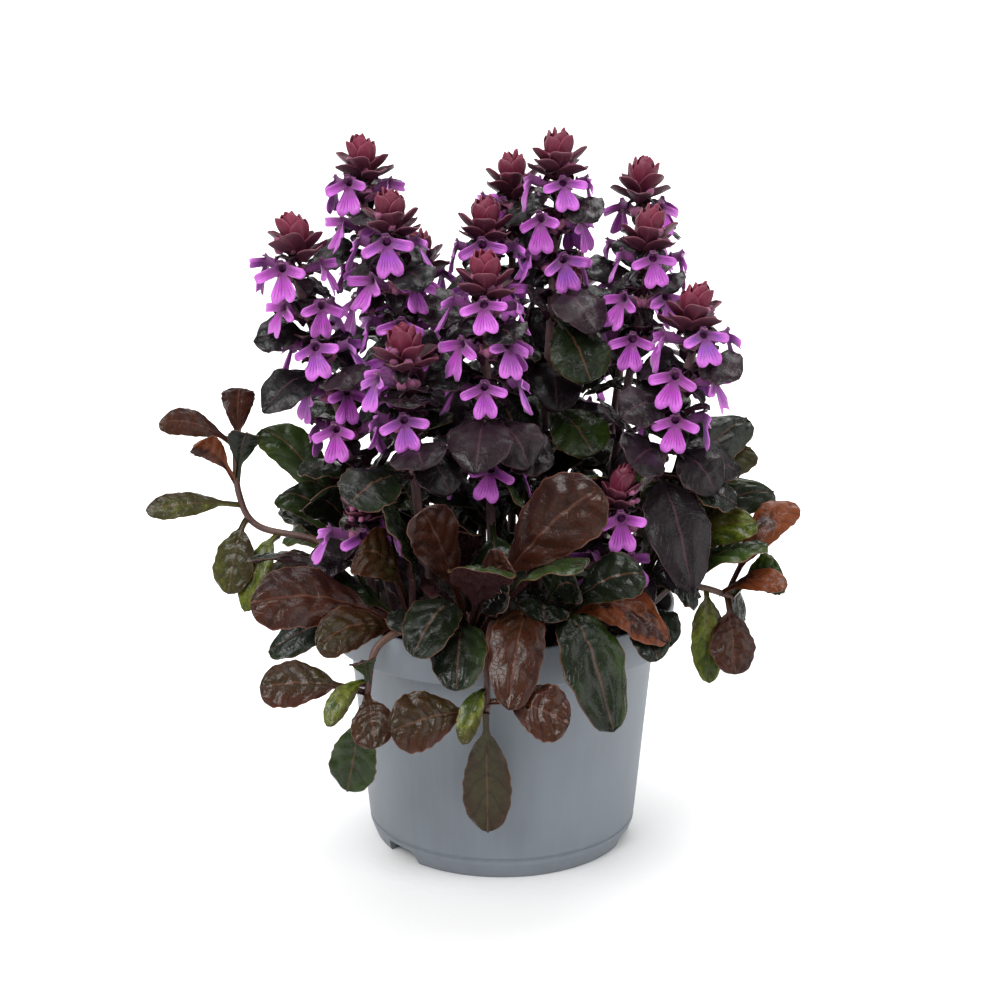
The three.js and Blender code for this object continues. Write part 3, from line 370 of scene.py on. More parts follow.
class Stalk:
    """What leaves grow from: a line, a radius, the directions across it and a number of sides."""

    def __init__(self, line, radius, sides, axes=lambda t: (around(0), around(90))):
        self.line = line
        self.radius = radius
        self.sides = sides
        self.axes = axes

    def turn(self, band, face):
        return face * 360 / self.sides + band["turn"]

    def normal(self, band, face):
        across, up = self.axes(band["t"])
        angle = math.radians(self.turn(band, face))
        return across * math.cos(angle) + up * math.sin(angle)

    def root(self, band, face):
        reach = self.radius(band["t"]) * math.cos(math.pi / self.sides)
        return self.line(band["t"]) + self.normal(band, face) * reach

    def free_face(self, bands, tip, taken):
        """Takes the free face that looks most nearly towards the leaf's tip."""
        best = None
        for band in bands:
            for face in range(self.sides):
                if any(one is band and number == face for one, number in taken):
                    continue
                root = self.root(band, face)
                towards = (tip - root).normalized()
                # the steeper a leaf rises, the higher it sits on a crown
                wanted = min(max((towards.z - 0.1) * 3, 0), 2)
                away = abs(band["level"] - wanted) if "level" in band else 0
                cost = 0.2 * away - self.normal(band, face).dot(towards)
                if best is None or cost < best[0]:
                    best = (cost, band, face, root)
        taken.append(best[1:3])
        return best[3]


def leaf_between(root, tip, rise, roll, front):
    """A leaf from root to tip whose face looks up, outwards and as far to the front as told."""
    along = tip - root
    face = UP + level(tip) * FACING_OUT + FRONT * front
    side = along.cross(face).normalized()
    side.rotate(Quaternion(along, math.radians(roll)))
    control = (root + tip) / 2
    control.z = max(root.z, tip.z) + rise
    return {"root": root, "control": control, "tip": tip, "side": side}


def leaf_along(root, azimuth, elevation, length, bow):
    """A leaf that leaves its root along a direction, bows away from it and looks to the front."""
    along = raised(azimuth, elevation)
    face = raised(azimuth, elevation + 90)
    control = root + along * (length / 2) + face * (length * bow)
    side = along.cross(face + FRONT * FACING_FRONT).normalized()
    return {"root": root, "control": control, "tip": root + along * length, "side": side}


def flower_frame(flower):
    """The directions across, down and to the front of a flower's lip, and its throat."""
    out = flower["out"]
    across = Vector((-out.y, out.x, 0)).normalized()
    front = level(out) * math.cos(flower["nod"]) + UP * math.sin(flower["nod"])
    return across, across.cross(front), front, flower["root"] + out * (TUBE_LENGTH * flower["size"])


def tip_of(item):
    """The tip of a leaf, or the middle of a flower's lip."""
    if item["kind"] != "flower":
        return item["tip"]
    _, down, front, throat = flower_frame(item)
    return throat + down * LIP_CENTRE + front * LIP_SWELL


def bent(item, yaw, pitch, scale):
    """The item turned about its root and made smaller."""
    is_flower = item["kind"] == "flower"
    side = Vector((item["out"].y, -item["out"].x, 0)).normalized() if is_flower else item["side"]
    turn = Quaternion(UP, math.radians(yaw)) @ Quaternion(side, math.radians(pitch))
    if is_flower:
        return {**item, "out": turn @ item["out"], "size": item["size"] * scale}
    root = item["root"]
    moved = {key: root + turn @ ((item[key] - root) * scale) for key in ("control", "tip")}
    return {**item, **moved, "side": turn @ side}


def stem_line(foot, tip):
    """A flowering stem's line, on which height grows evenly."""
    low = Vector((*foot, STALK_BOTTOM))
    top = Vector(tip) - UP * HEAD
    middle = low.lerp(top, STEM_LEAN)
    middle.z = (low.z + top.z) / 2
    return lambda t: bezier(low, middle, top, t)


def lay_out_stem(row, number):
    """A stem with whorls of flowers, each over a pair of bracts, and pairs of leaves below."""
    foot, tip, whorls, facing, pairs, bud, leaves = row
    random = seeded(number)
    height = tip[2] - HEAD - STALK_BOTTOM
    stalk = Stalk(stem_line(foot, tip), lambda t: STEM_RADIUS - STEM_TAPER * t, 4)
    items = []
    taken = []
    bands = []
    leaf_bands = []

    def share(below):
        return (tip[2] - below - STALK_BOTTOM) / height

    def leaf_on(band, face, elevation, length, kind, width, bow):
        azimuth = stalk.turn(band, face) + jitter(random, 14)
        leaf = leaf_along(stalk.root(band, face), azimuth, elevation, length, bow)
        items.append({"kind": kind, "width": length * width, **leaf})
        taken.append((band, face))

    def drooping(band, face, most):
        """How far a leaf hangs: most at the front and not at all at the back."""
        return most * max(0, -math.sin(math.radians(stalk.turn(band, face))))

    for k, blooms in enumerate(whorls):
        below = FIRST_WHORL + WHORL_STEP * k
        turn = facing + 45 * (k % 2) + jitter(random, 12)
        blooming = {"t": share(below + BLOOM_DROP), "turn": turn}
        leafy = {"t": share(below + BRACT_DROP), "turn": turn + 45}
        bands.append(blooming)
        leaf_bands.append(leafy)
        for face in BLOOM_FACES[:blooms]:
            azimuth = stalk.turn(blooming, face) + jitter(random, 8)
            out = raised(azimuth, 16 + 14 * random())
            size = 0.98 + 0.14 * random()
            nod = math.radians(2 + 20 * random())
            root = stalk.root(blooming, face)
            items.append({"kind": "flower", "root": root, "out": out, "size": size, "nod": nod})
        for face in PAIR_FACES:
            length = 21 + 1.4 * k + 3 * random()
            elevation = -14 - 4 * k + jitter(random, 10) - drooping(leafy, face, BRACT_DROOP)
            leaf_on(leafy, face, elevation, length, *BRACT_HABIT)
    for k in range(pairs):
        below = FIRST_WHORL + WHORL_STEP * len(whorls) + PAIR_DROP + PAIR_STEP * k
        band = {"t": share(below), "turn": facing + 90 * k + PAIR_TURN}
        leaf_bands.append(band)
        for face in PAIR_FACES:
            length = 30 + 8 * random()
            elevation = 14 - 30 * random() - drooping(band, face, LEAF_DROOP)
            leaf_on(band, face, elevation, length, *LEAF_HABIT)
    for wanted, end, width, rise in leaves:
        nearest = min(leaf_bands, key=lambda band: abs(STALK_BOTTOM + band["t"] * height - wanted))
        end = Vector(end)
        root = stalk.free_face([nearest], end, taken)
        items.append({"kind": "bract", "width": width, **leaf_between(root, end, rise, 0, FACING_FRONT)})
    return {"stalk": stalk, "items": items, "tip": Vector(tip), "turn": facing, "whorls": bands, "bud": bud}


def lay_out_crown(row, number):
    """A short stalk with its listed leaves, and more that are drawn round where it faces."""
    foot, leaves, more, facing = row
    random = seeded(CROWN_LAYOUT_SEED + number)
    low = Vector((*foot, STALK_BOTTOM))
    height = ROOT_DEPTH + CROWN_HEIGHT
    stalk = Stalk(lambda t: low + UP * (t * height), lambda t: CROWN_RADIUS - CROWN_TAPER * t, 6)
    bands = [
        {"t": (ROOT_DEPTH + CROWN_FIRST + CROWN_STEP * k) / height, "turn": 30 * (k % 2), "level": k}
        for k in range(3)
    ]
    wanted = []
    for tip, width, rise, roll, shade in leaves:
        wanted.append((Vector(tip), width, rise, roll, FACING_FRONT, shade))
    for k in range(more):
        azimuth = facing + (k - (more - 1) / 2) * CROWN_SPREAD + jitter(random, 16)
        lift = 18 + 36 * random() + (14 if k % 2 else 0)
        reach = around(azimuth) * (34 + 20 * random())
        width = 17 + 7 * random()
        tip = Vector((foot[0] + reach.x, foot[1] + reach.y, SOIL_LEVEL + lift))
        wanted.append((tip, width, 12 - 0.3 * lift, jitter(random, 30), 0, None))
    items = []
    taken = []
    for tip, width, rise, roll, front, shade in wanted:
        leaf = leaf_between(stalk.free_face(bands, tip, taken), tip, rise, roll, front)
        items.append({"kind": "spoon", "width": width, "shade": shade, **leaf})
    return {"stalk": stalk, "items": items}


def lay_out_runner(row, _):
    """A creeping stalk with its listed leaves at its joints and its end."""
    front, path, leaves = row
    line = smooth_path(path)
    heading = Vector(path[-1]) - Vector(path[0])
    across = Vector((heading.y, -heading.x, 0)).normalized()

    def axes(t):
        along = (line(t + 1e-4) - line(t - 1e-4)).normalized()
        first = (across - along * across.dot(along)).normalized()
        return first, along.cross(first)

    stalk = Stalk(line, lambda t: RUNNER_RADIUS - RUNNER_TAPER * t, 4, axes)
    bands = {leaf[0]: {"t": leaf[0], "turn": 45} for leaf in leaves if leaf[0] < 1}
    items = []
    taken = []
    for at, tip, width, rise, roll, shade in leaves:
        tip = Vector(tip)
        root = stalk.free_face([bands[at]], tip, taken) if at in bands else line(1)
        kind = "spoon" if width > SMALL_WIDTH else "small"
        leaf = leaf_between(root, tip, rise, roll, front)
        items.append({"kind": kind, "width": width, "shade": shade, **leaf})
    return {"stalk": stalk, "items": items}


def fit_to_frame(plant, name):
    """Keeps the items that the frame's node has, each bent as it is there."""
    corners = [v.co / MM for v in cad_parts[name].data.vertices]
    tree = KDTree(len(corners))
    for i, corner in enumerate(corners):
        tree.insert(corner, i)
    tree.balance()
    kept = []
    for item in plant["items"]:
        ways = (bent(item, *way) for way in BENDS)
        found = next((way for way in ways if tree.find(tip_of(way))[2] < MATCH), None)
        if found:
            kept.append(found)
    return {**plant, "items": kept, "name": name}


def lay_out(rows, name, make, seed):
    """Each row's plant, fitted to its node, and the random numbers for its details."""
    for i, row in enumerate(rows):
        yield fit_to_frame(make(row, i), f"{name}_{i + 1:02d}"), seeded(seed + i)


# Meshes


def new_object(add, **settings):
    """Adds an object with nothing else selected."""
    bpy.ops.object.select_all(action="DESELECT")
    add(**settings)
    return bpy.context.object


@contextmanager
def editing(shape):
    """Edit mode on one shape, at first with all of it selected."""
    bpy.context.view_layer.objects.active = shape
    bpy.ops.object.mode_set(mode="EDIT")
    bpy.ops.mesh.select_all(action="SELECT")
    yield
    bpy.ops.object.mode_set(mode="OBJECT")


def turn_outwards():
    """Selects everything in edit mode and turns its faces outwards."""
    bpy.ops.mesh.select_all(action="SELECT")
    bpy.ops.mesh.normals_make_consistent(inside=False)


def finish_with(shape, kind, **settings):
    """Adds a modifier and applies it."""
    modifier = shape.modifiers.new(kind.lower(), kind)
    for name, value in settings.items():
        setattr(modifier, name, value)
    bpy.context.view_layer.objects.active = shape
    bpy.ops.object.modifier_apply(modifier=modifier.name)


def sheet(columns, rows):
    """A thin flat sheet from -1 to 1 both ways, with its upper face at 0 and its lower at -1."""
    grid = bpy.ops.mesh.primitive_grid_add
    shape = new_object(grid, x_subdivisions=columns, y_subdivisions=rows, size=2)
    finish_with(shape, "SOLIDIFY", thickness=1, offset=-1)
    return shape


def rings(sides, count):
    """An open tube of rings round Z, ring k at height k, made by extruding a circle."""
    shape = new_object(bpy.ops.mesh.primitive_circle_add, vertices=sides, radius=1)
    with editing(shape):
        for _ in range(count - 1):
            bpy.ops.mesh.extrude_region_move(TRANSFORM_OT_translate={"value": (0, 0, 1)})
        turn_outwards()
    vertices = shape.data.vertices
    layer = shape.data.uv_layers.active or shape.data.uv_layers.new(name="surface")
    for polygon in shape.data.polygons:
        turns = {v: math.atan2(vertices[v].co.y, vertices[v].co.x) / math.tau % 1 for v in polygon.vertices}
        wraps = max(turns.values()) - min(turns.values()) > 0.5
        for v, corner in zip(polygon.vertices, polygon.loop_indices):
            turn = turns[v] + 1 if wraps and turns[v] < 0.5 else turns[v]
            layer.data[corner].uv = (turn, vertices[v].co.z / (count - 1))
    return shape


def side_of(vertex, sides):
    """The number of the side that a vertex of rings is on."""
    return round(math.atan2(vertex.co.y, vertex.co.x) / math.tau * sides)


def closed(shape):
    """Merges what lies together and turns the faces outwards."""
    with editing(shape):
        bpy.ops.mesh.remove_doubles(threshold=1e-5)
        turn_outwards()
    return shape


class Master:
    """A shape that is modelled once and read back, to be bent and copied."""

    def __init__(self, shape):
        mesh = shape.data
        self.points = np.array([v.co for v in mesh.vertices], float)
        faces = [tuple(p.vertices) for p in mesh.polygons]
        self.sizes = np.array([len(face) for face in faces])
        self.corners = np.concatenate([np.array(face) for face in faces])
        layer = mesh.uv_layers.active
        self.uvs = np.array([d.uv for d in layer.data]) if layer else np.zeros((len(self.corners), 2))
        bpy.data.objects.remove(shape)
        bpy.data.meshes.remove(mesh)


class Gathering:
    """Bent copies of masters that become one piece."""

    def __init__(self):
        self.parts = []

    def add(self, master, points, slot=0, **traits):
        self.parts.append((master, points, slot, traits))

    def piece(self, name, materials, node, slot):
        """Makes the piece, with what is added to it in millimetres."""
        sizes = np.concatenate([m.sizes for m, *_ in self.parts])
        counts = np.cumsum([0] + [len(p) for _, p, *_ in self.parts])
        corners = np.concatenate([m.corners + first for (m, *_), first in zip(self.parts, counts)])
        mesh = bpy.data.meshes.new(name)
        mesh.vertices.add(counts[-1])
        mesh.loops.add(len(corners))
        mesh.polygons.add(len(sizes))
        points = np.concatenate([p for _, p, *_ in self.parts]) * MM
        mesh.vertices.foreach_set("co", points.astype(np.float32).ravel())
        mesh.loops.foreach_set("vertex_index", corners.astype(np.int32))
        starts = np.concatenate([[0], np.cumsum(sizes)[:-1]])
        mesh.polygons.foreach_set("loop_start", starts.astype(np.int32))
        slots = np.concatenate([np.full(len(m.sizes), s) for m, _, s, _ in self.parts])
        mesh.polygons.foreach_set("material_index", slots.astype(np.int32))
        mesh.polygons.foreach_set("use_smooth", np.ones(len(sizes), bool))
        uvs = np.concatenate([m.uvs for m, *_ in self.parts])
        mesh.uv_layers.new(name="surface").data.foreach_set("uv", uvs.astype(np.float32).ravel())
        for trait in sorted({key for *_, traits in self.parts for key in traits}):
            values = [np.broadcast_to(t.get(trait, 0.0), len(p)) for _, p, _, t in self.parts]
            layer = mesh.attributes.new(trait, "FLOAT", "POINT")
            layer.data.foreach_set("value", np.concatenate(values).astype(np.float32))
        mesh.update(calc_edges=True)
        mesh.validate()
        for material in materials:
            mesh.materials.append(material)
        piece = bpy.data.objects.new(name, mesh)
        bpy.context.scene.collection.objects.link(piece)
        return seat(piece, node)


def seat(piece, node):
    """Says where a finished piece belongs."""
    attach(piece, BODY)
    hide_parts(node)
    return piece


def smoothstep(low, high, x):
    t = np.clip((x - low) / (high - low), 0, 1)
    return t * t * (3 - 2 * t)


# Leaves


class LeafKind(NamedTuple):
    """The build of a kind of leaf. Its length is 1, and stalk_half is in millimetres."""

    columns: int
    rows: int
    stalk: float  # how much of the length is stalk
    stalk_half: float  # half the stalk's width
    power: float  # how far towards the tip the blade is widest
    fullness: float  # how round the blade is: the lower the rounder
    veins: float  # side veins in each half
    relief: float  # height of the puckers next to half the width
    teeth: float  # depth of the waves along the edge
    cup: float  # how far the edges rise next to half the width


LEAF_KINDS = {
    "spoon": LeafKind(18, 34, 0.3, 1.1, 1.5, 0.46, 4.5, 0.17, 0.03, -0.06),
    "small": LeafKind(12, 24, 0.22, 1.0, 1.4, 0.48, 4.5, 0.15, 0.04, -0.06),
    "bract": LeafKind(12, 18, 0.25, 1.3, 0.95, 0.6, 4, 0.14, 0.03, -0.06),
    "scale": LeafKind(6, 9, 0.05, 2.2, 1.1, 0.55, 2, 0.03, 0.0, 0.4),
    "leaflet": LeafKind(4, 6, 0.1, 1.0, 1.0, 0.7, 2, 0.06, 0.0, 0.25),
}
STALK_ROWS = 0.2  # share of a leaf's rows that its stalk takes
STALK_DEPTH = 0.9  # how much thicker the stalk is than the blade
RIB_HEIGHT = 0.6  # of the midrib under the blade
RIB_HALF = 0.9  # half its width
SUNK = 0.02  # how deep a leaf's root goes into what carries it, as a share of its length
LEAF_THICKNESS = 0.55
SMALL_LEAF_THICKNESS = 0.45
SCALE_THICKNESS = 0.5


class LeafForm:
    """The flat form of a leaf: its sheet, the outline over it and the relief of its veins."""

    def __init__(self, kind, seed):
        self.kind = kind
        self.master = Master(sheet(kind.columns, kind.rows))
        random = seeded(seed)
        across, along, layer = self.master.points.T
        crowding = math.pi / 2 * 0.94
        side = np.sin(across * crowding) / math.sin(crowding)
        row = (along + 1) / 2
        v = np.clip((row - STALK_ROWS) / (1 - STALK_ROWS), 0, 1)
        v = 1 - (1 - v) ** 1.25
        below = np.clip(row / STALK_ROWS, 0, 1) * (kind.stalk + SUNK) - SUNK
        self.t = np.where(row < STALK_ROWS, below, kind.stalk + v * (1 - kind.stalk))
        self.v = v
        self.side = side
        self.under = -layer
        blade = np.clip(np.sin(np.pi * v**kind.power), 0, 1) ** kind.fullness
        teeth = np.cos(2 * np.pi * (kind.veins * 1.5 * v + 0.5 * random() * np.sign(side)))
        self.blade = blade * (1 + kind.teeth * teeth)
        self.stalk_half = kind.stalk_half * (1 - 0.9 * v**4)
        self.height = self.puckers(random)
        uv = self.master.uvs
        uv[:, 1] = self.t[self.master.corners]
        uv[:, 0] = (self.side[self.master.corners] + 1) / 2

    def puckers(self, random):
        """Bulges between the side veins, which run outwards and forwards from the middle one."""
        v, side = self.v, np.abs(self.side)
        left = self.side < 0
        stagger = np.where(left, random(), random())
        wander = 0.12 * np.sin(5 * side + 9 * v + 6 * random())
        phase = v * self.kind.veins - side**0.85 * 1.15 + stagger * 0.35 + wander
        between = np.abs(np.sin(np.pi * phase)) ** 0.7
        self.phase = np.where(v > 0, phase, 0.5)
        cell = np.floor(phase)
        split = np.abs(np.sin(np.pi * (2.1 * side + 0.37 * cell + random()))) ** 0.6
        swell = between * (0.25 + 0.75 * split) * (1 - side**3) * smoothstep(0, 0.12, v)
        groove = 0.8 * np.exp(-((side / 0.09) ** 2)) * (1 - 0.6 * v)
        ruffle = 0.5 * side**3 * np.sin(2 * np.pi * (2.6 * v + 0.6 * left) + 6 * random())
        return swell - groove + ruffle

    def bend(self, leaf, thick):
        """The leaf's points along its curve."""
        root, control, tip, across = (np.array(leaf[key]) for key in ("root", "control", "tip", "side"))
        t = self.t[:, None]
        middle = bezier(root, control, tip, t)
        tangent = (control - root) * (1 - t) + (tip - control) * t
        face = np.cross(across, tangent)
        face /= np.linalg.norm(face, axis=1, keepdims=True)
        widest = leaf["width"] / 2
        half = self.stalk_half + np.clip(widest - self.stalk_half, 0, None) * self.blade
        petiole = 1 - smoothstep(0.0, 0.15, self.v)
        edge = self.side**2
        up = (self.height * self.kind.relief * widest + self.kind.cup * half * edge) * (1 - petiole)
        up += 0.5 * petiole * edge
        rib = np.exp(-((self.side * half / RIB_HALF) ** 2)) * (1 - 0.7 * self.v)
        depth = thick * (1 - 0.5 * edge) + RIB_HEIGHT * rib + STALK_DEPTH * petiole * (1 - edge)
        up -= depth * self.under
        return middle + across * (self.side * half)[:, None] + face * up[:, None]


def add_leaf(gathering, forms, leaf, random, shade, thick=LEAF_THICKNESS, slot=0, spread=0.07):
    """A leaf whose shade drifts along it and from one half to the other."""
    form = forms[int(random() * len(forms)) % len(forms)]
    points = form.bend(leaf, thick)
    drift = (2 * random() - 1) * (form.v - 0.5) + (2 * random() - 1) * form.side
    traits = {"shade": shade + spread * drift, "under": form.under, "phase": form.phase}
    gathering.add(form.master, points, slot, **traits)


# Flowers

# A flower's mesh is cut along these angles from straight down, in degrees, on either side
LOBE_ANGLES = (
    0, 5, 10, 15, 20, 25, 29, 31, 34, 44, 53, 55, 57.5, 62, 67, 72, 76.5, 79, 81, 92, 108, 135, 160
)
TUBE_RINGS = ((-TUBE_LENGTH, 0.9), (-5.2, 1.2), (-2.0, 1.7), (0, 1.6))  # depth and radius
LIP_SHARES = (0.25, 0.55, 0.82, 1.0)
LIP_DROP = 0.4  # how far the lip's middle is under the tube's
MIDDLE_LENGTH = 11.5
MIDDLE_HALF = 29  # half the angle that the middle lobe fans over, in degrees
MIDDLE_END = 34  # where its base ends, in degrees
NOTCH_DEPTH = 1.9  # of the middle lobe's notch
LOBE_TURN = 67  # of the side lobes, in degrees from straight down
LOBE_LENGTH = 8.5
LOBE_HALF = 1.6  # half a side lobe's width
LOBES_END = 108  # where the side lobes end, in degrees
UPPER_LIP = 120  # where the upper lip starts, in degrees
MIDDLE = 2  # number of the middle lobe, after the two side lobes
PETAL_THICKNESS = 0.28
ARCH = 1.3  # how far the lip bulges to the front
ARCH_REACH = 8  # how far from the throat the bulge is full
CURL = 0.035  # of the middle lobe's end
GROOVE = 0.9  # depth of the lip's groove, and half its width
RUFFLE = 0.55
RUFFLES = 11  # all the way round
UPPER_RISE = 0.9  # how steeply the upper lip comes forwards

# Rings of (height, radius) from the root to the tip
CALYX_PROFILE = ((0, 0), (0.1, 0.9), (1.6, 1.7), (3.2, 1.9), (4.4, 2.15), (3.4, 1.5), (2.2, 0.6), (2.0, 0))
BUD_PROFILE = ((0, 0), (0.3, 0.9), (1.3, 1.7), (2.5, 2.0), (3.6, 1.7), (4.4, 1.0), (4.7, 0))
ANTHER_PROFILE = ((-0.6, 0), (-0.3, 0.4), (0.3, 0.4), (0.6, 0))
HAIR_PROFILE = ((0, 0), (0, 0.06), (1, 0))
CRUMB_PROFILE = ((-0.8, 0), (-0.4, 0.8), (0.4, 0.9), (0.8, 0))


def lobe_reach(off):
    """How far a lobe with a round end reaches at an angle off its middle, in degrees."""
    centre = LOBE_LENGTH - LOBE_HALF
    aside = math.sin(math.radians(abs(off)))
    if centre * aside < LOBE_HALF and abs(off) < 90:
        return centre * math.cos(math.radians(off)) + math.sqrt(LOBE_HALF**2 - (centre * aside) ** 2)
    return LOBE_HALF / aside if abs(off) < 90 else 0


def lip_reach(angle):
    """How far the lip reaches at an angle from straight down, in degrees."""
    off = abs(angle)
    notch = NOTCH_DEPTH * math.exp(-((off / 6) ** 2))
    middle = MIDDLE_LENGTH - notch - 1.3 * (max(0, off - 15) / 10) ** 2.2
    if off > MIDDLE_HALF:
        middle = max(0, 8.6 - 2.6 * (off - MIDDLE_HALF))
    upper = 2.9 - abs(off - 155) / 20
    return max(middle, lobe_reach(off - LOBE_TURN), upper, 2.0)


class FlowerForm:
    """A two-lipped flower in its own directions: across, down and to the front."""

    def __init__(self, seed):
        random = seeded(seed)
        angles = [*LOBE_ANGLES, *(-a for a in LOBE_ANGLES[:0:-1])]
        shape = rings(len(angles), len(TUBE_RINGS) + len(LIP_SHARES))
        start = side_of(shape.data.vertices[0], len(angles))
        self.droop = jitter(random, 1.6)
        self.tilts = [0.5 * (random() - 0.3) for _ in range(2)]
        self.swings = [jitter(random, 16) for _ in range(2)]
        self.sizes = [0.95 + 0.15 * random() for _ in range(3)]
        self.ruffle = math.tau * random()
        for vertex in shape.data.vertices:
            side = side_of(vertex, len(angles)) - start
            vertex.co = self.corner(angles[side % len(angles)], round(vertex.co.z))
        finish_with(closed(shape), "SOLIDIFY", thickness=PETAL_THICKNESS, offset=0)
        self.master = Master(shape)
        x, y, z = self.master.points.T
        angle = np.degrees(np.arctan2(x, y - LIP_DROP))
        self.fan = angle / 7
        self.reach = np.where(z < -0.6, 0, np.hypot(x, y - LIP_DROP) / 12)
        outline = np.array([lip_reach(one) for one in angle])
        self.rim = np.clip(12 * self.reach / np.maximum(outline, 4), 0, 1)

    def corner(self, angle, ring):
        """A point of the tube or the lip at an angle from straight down, in degrees."""
        turn = math.radians(angle)
        if ring < len(TUBE_RINGS):
            depth, radius = TUBE_RINGS[ring]
            drop = LIP_DROP * ring / (len(TUBE_RINGS) - 1)
            return (radius * math.sin(turn), radius * math.cos(turn) + drop, depth)
        share = LIP_SHARES[ring - len(TUBE_RINGS)]
        inner = TUBE_RINGS[-1][1]
        off = abs(angle)
        hand = 0 if angle > 0 else 1
        lobe = MIDDLE if off < MIDDLE_END else hand
        far = max(lip_reach(angle), inner + 0.3)
        if off < LOBES_END:
            far = inner + (far - inner) * self.sizes[lobe]
        reach = inner + (far - inner) * share
        near_lobe = max(0, 1 - abs(off - LOBE_TURN) / 34)
        turn += math.radians(self.swings[hand]) * near_lobe * math.copysign(1, angle)
        x = reach * math.sin(turn)
        y = reach * math.cos(turn) + LIP_DROP
        rising = min(reach / ARCH_REACH, 1)
        arch = ARCH * math.sin(rising * math.pi / 2)
        curl = CURL * max(0, y - 5) ** 1.6
        groove = GROOVE * math.exp(-((x / GROOVE) ** 2)) * rising
        depth = arch + curl - groove - self.droop * (reach / 9) ** 2
        if lobe == MIDDLE:
            depth += RUFFLE * share**2 * math.sin(RUFFLES * math.radians(angle) + self.ruffle)
        elif off < LOBES_END:
            cup = 0.16 * abs(off - LOBE_TURN) / 12 * (reach - 2)
            depth += self.tilts[hand] * max(0, abs(x) - 2.2) + cup
        if off > UPPER_LIP:
            depth += UPPER_RISE * (reach - inner)
        return (x, y, depth)

    def place(self, flower, roll):
        """The flower's points, with its lip rolled about its middle by some degrees."""
        across, down, front, throat = (np.array(v) for v in flower_frame(flower))
        turn = math.radians(roll)
        x, y, z = self.master.points.T * flower["size"]
        x, y = x * math.cos(turn) - y * math.sin(turn), x * math.sin(turn) + y * math.cos(turn)
        back = np.minimum(z, 0)[:, None] * np.array(flower["out"])
        ahead = np.maximum(z, 0)[:, None] * front
        return throat - x[:, None] * across + y[:, None] * down + back + ahead


def ring_form(profile, sides, teeth=0.0):
    """A closed turned form round Z from rings of (height, radius), with teeth at the widest."""
    shape = rings(sides, len(profile))
    widest = max(range(len(profile)), key=lambda k: profile[k][1])
    for vertex in shape.data.vertices:
        x, y, ring = vertex.co
        height, radius = profile[round(ring)]
        if round(ring) == widest:
            height += teeth if side_of(vertex, sides) % 2 else -teeth
        vertex.co = (x * radius, y * radius, height)
    return Master(closed(shape))


def add_pointed(gathering, form, slot, place, out, size=1.0, stretch=1.0, lumps=1.0, **traits):
    """Adds a form that is round Z, set at a place along a direction. Lumps scale its points."""
    turn = np.array(UP.rotation_difference(out.normalized()).to_matrix())
    points = form.points * lumps * (size, size, size * stretch)
    gathering.add(form, np.array(place) + points @ turn.T, slot, **traits)


# Stalks

STALK_RINGS = 48
SWELLING = 0.3  # how much thicker a stem is at a whorl
SWELLING_LENGTH = 0.015  # as a share of the stem's
SQUARENESS = 0.09


class StalkForm:
    """A closed stalk that follows a line."""

    def __init__(self, sides):
        shape = rings(sides, STALK_RINGS)
        with editing(shape):
            bpy.ops.mesh.fill_holes(sides=0)
        self.master = Master(closed(shape))

    def follow(self, stalk, across, square=0.0, swellings=()):
        """The points along a stalk. It thickens at the places listed in swellings."""
        x, y, ring = self.master.points.T
        places = np.linspace(0, 1, STALK_RINGS)
        line = np.array([stalk.line(s) for s in places])
        ahead = np.gradient(line, axis=0)
        ahead /= np.linalg.norm(ahead, axis=1, keepdims=True)
        first = np.array(across) - ahead * (ahead @ np.array(across))[:, None]
        first /= np.linalg.norm(first, axis=1, keepdims=True)
        second = np.cross(ahead, first)
        radius = np.array([stalk.radius(s) for s in places])
        for place in swellings:
            radius *= 1 + SWELLING * np.exp(-(((places - place) / SWELLING_LENGTH) ** 2))
        k = np.rint(ring).astype(int)
        wide = (radius[k] * (1 + square * np.cos(4 * np.arctan2(y, x))))[:, None]
        return line[k] + first[k] * wide * x[:, None] + second[k] * wide * y[:, None]


# Materials

# Colours along a leaf's shade
LEAF_STOPS = (
    (0.0, (0.006, 0.007, 0.006)),
    (0.18, (0.009, 0.014, 0.006)),
    (0.33, (0.024, 0.044, 0.007)),
    (0.38, (0.045, 0.065, 0.008)),
    (0.41, (0.11, 0.13, 0.010)),
    (0.45, (0.060, 0.060, 0.010)),
    (0.5, (0.042, 0.038, 0.010)),
    (0.6, (0.032, 0.018, 0.006)),
    (0.74, (0.052, 0.014, 0.006)),
    (0.86, (0.028, 0.009, 0.007)),
    (0.95, (0.034, 0.010, 0.007)),
    (0.99, (0.15, 0.036, 0.010)),
)
BRACT_STOPS = (
    (0.0, (0.006, 0.005, 0.006)),
    (0.5, (0.011, 0.007, 0.009)),
    (1.0, (0.024, 0.012, 0.017)),
)
SCALE_STOPS = (
    (0.0, (0.030, 0.014, 0.020)),
    (0.4, (0.090, 0.016, 0.032)),
    (1.0, (0.26, 0.018, 0.055)),
)
# painted shade: the near-black colour that the valleys along a leaf's side veins are darkened towards
PAINTED_VALLEY_SHADE = (0.003, 0.003, 0.002)
STREAK_SCALE = (260.0, 260.0, 12.0)  # far finer round the pot than up its wall


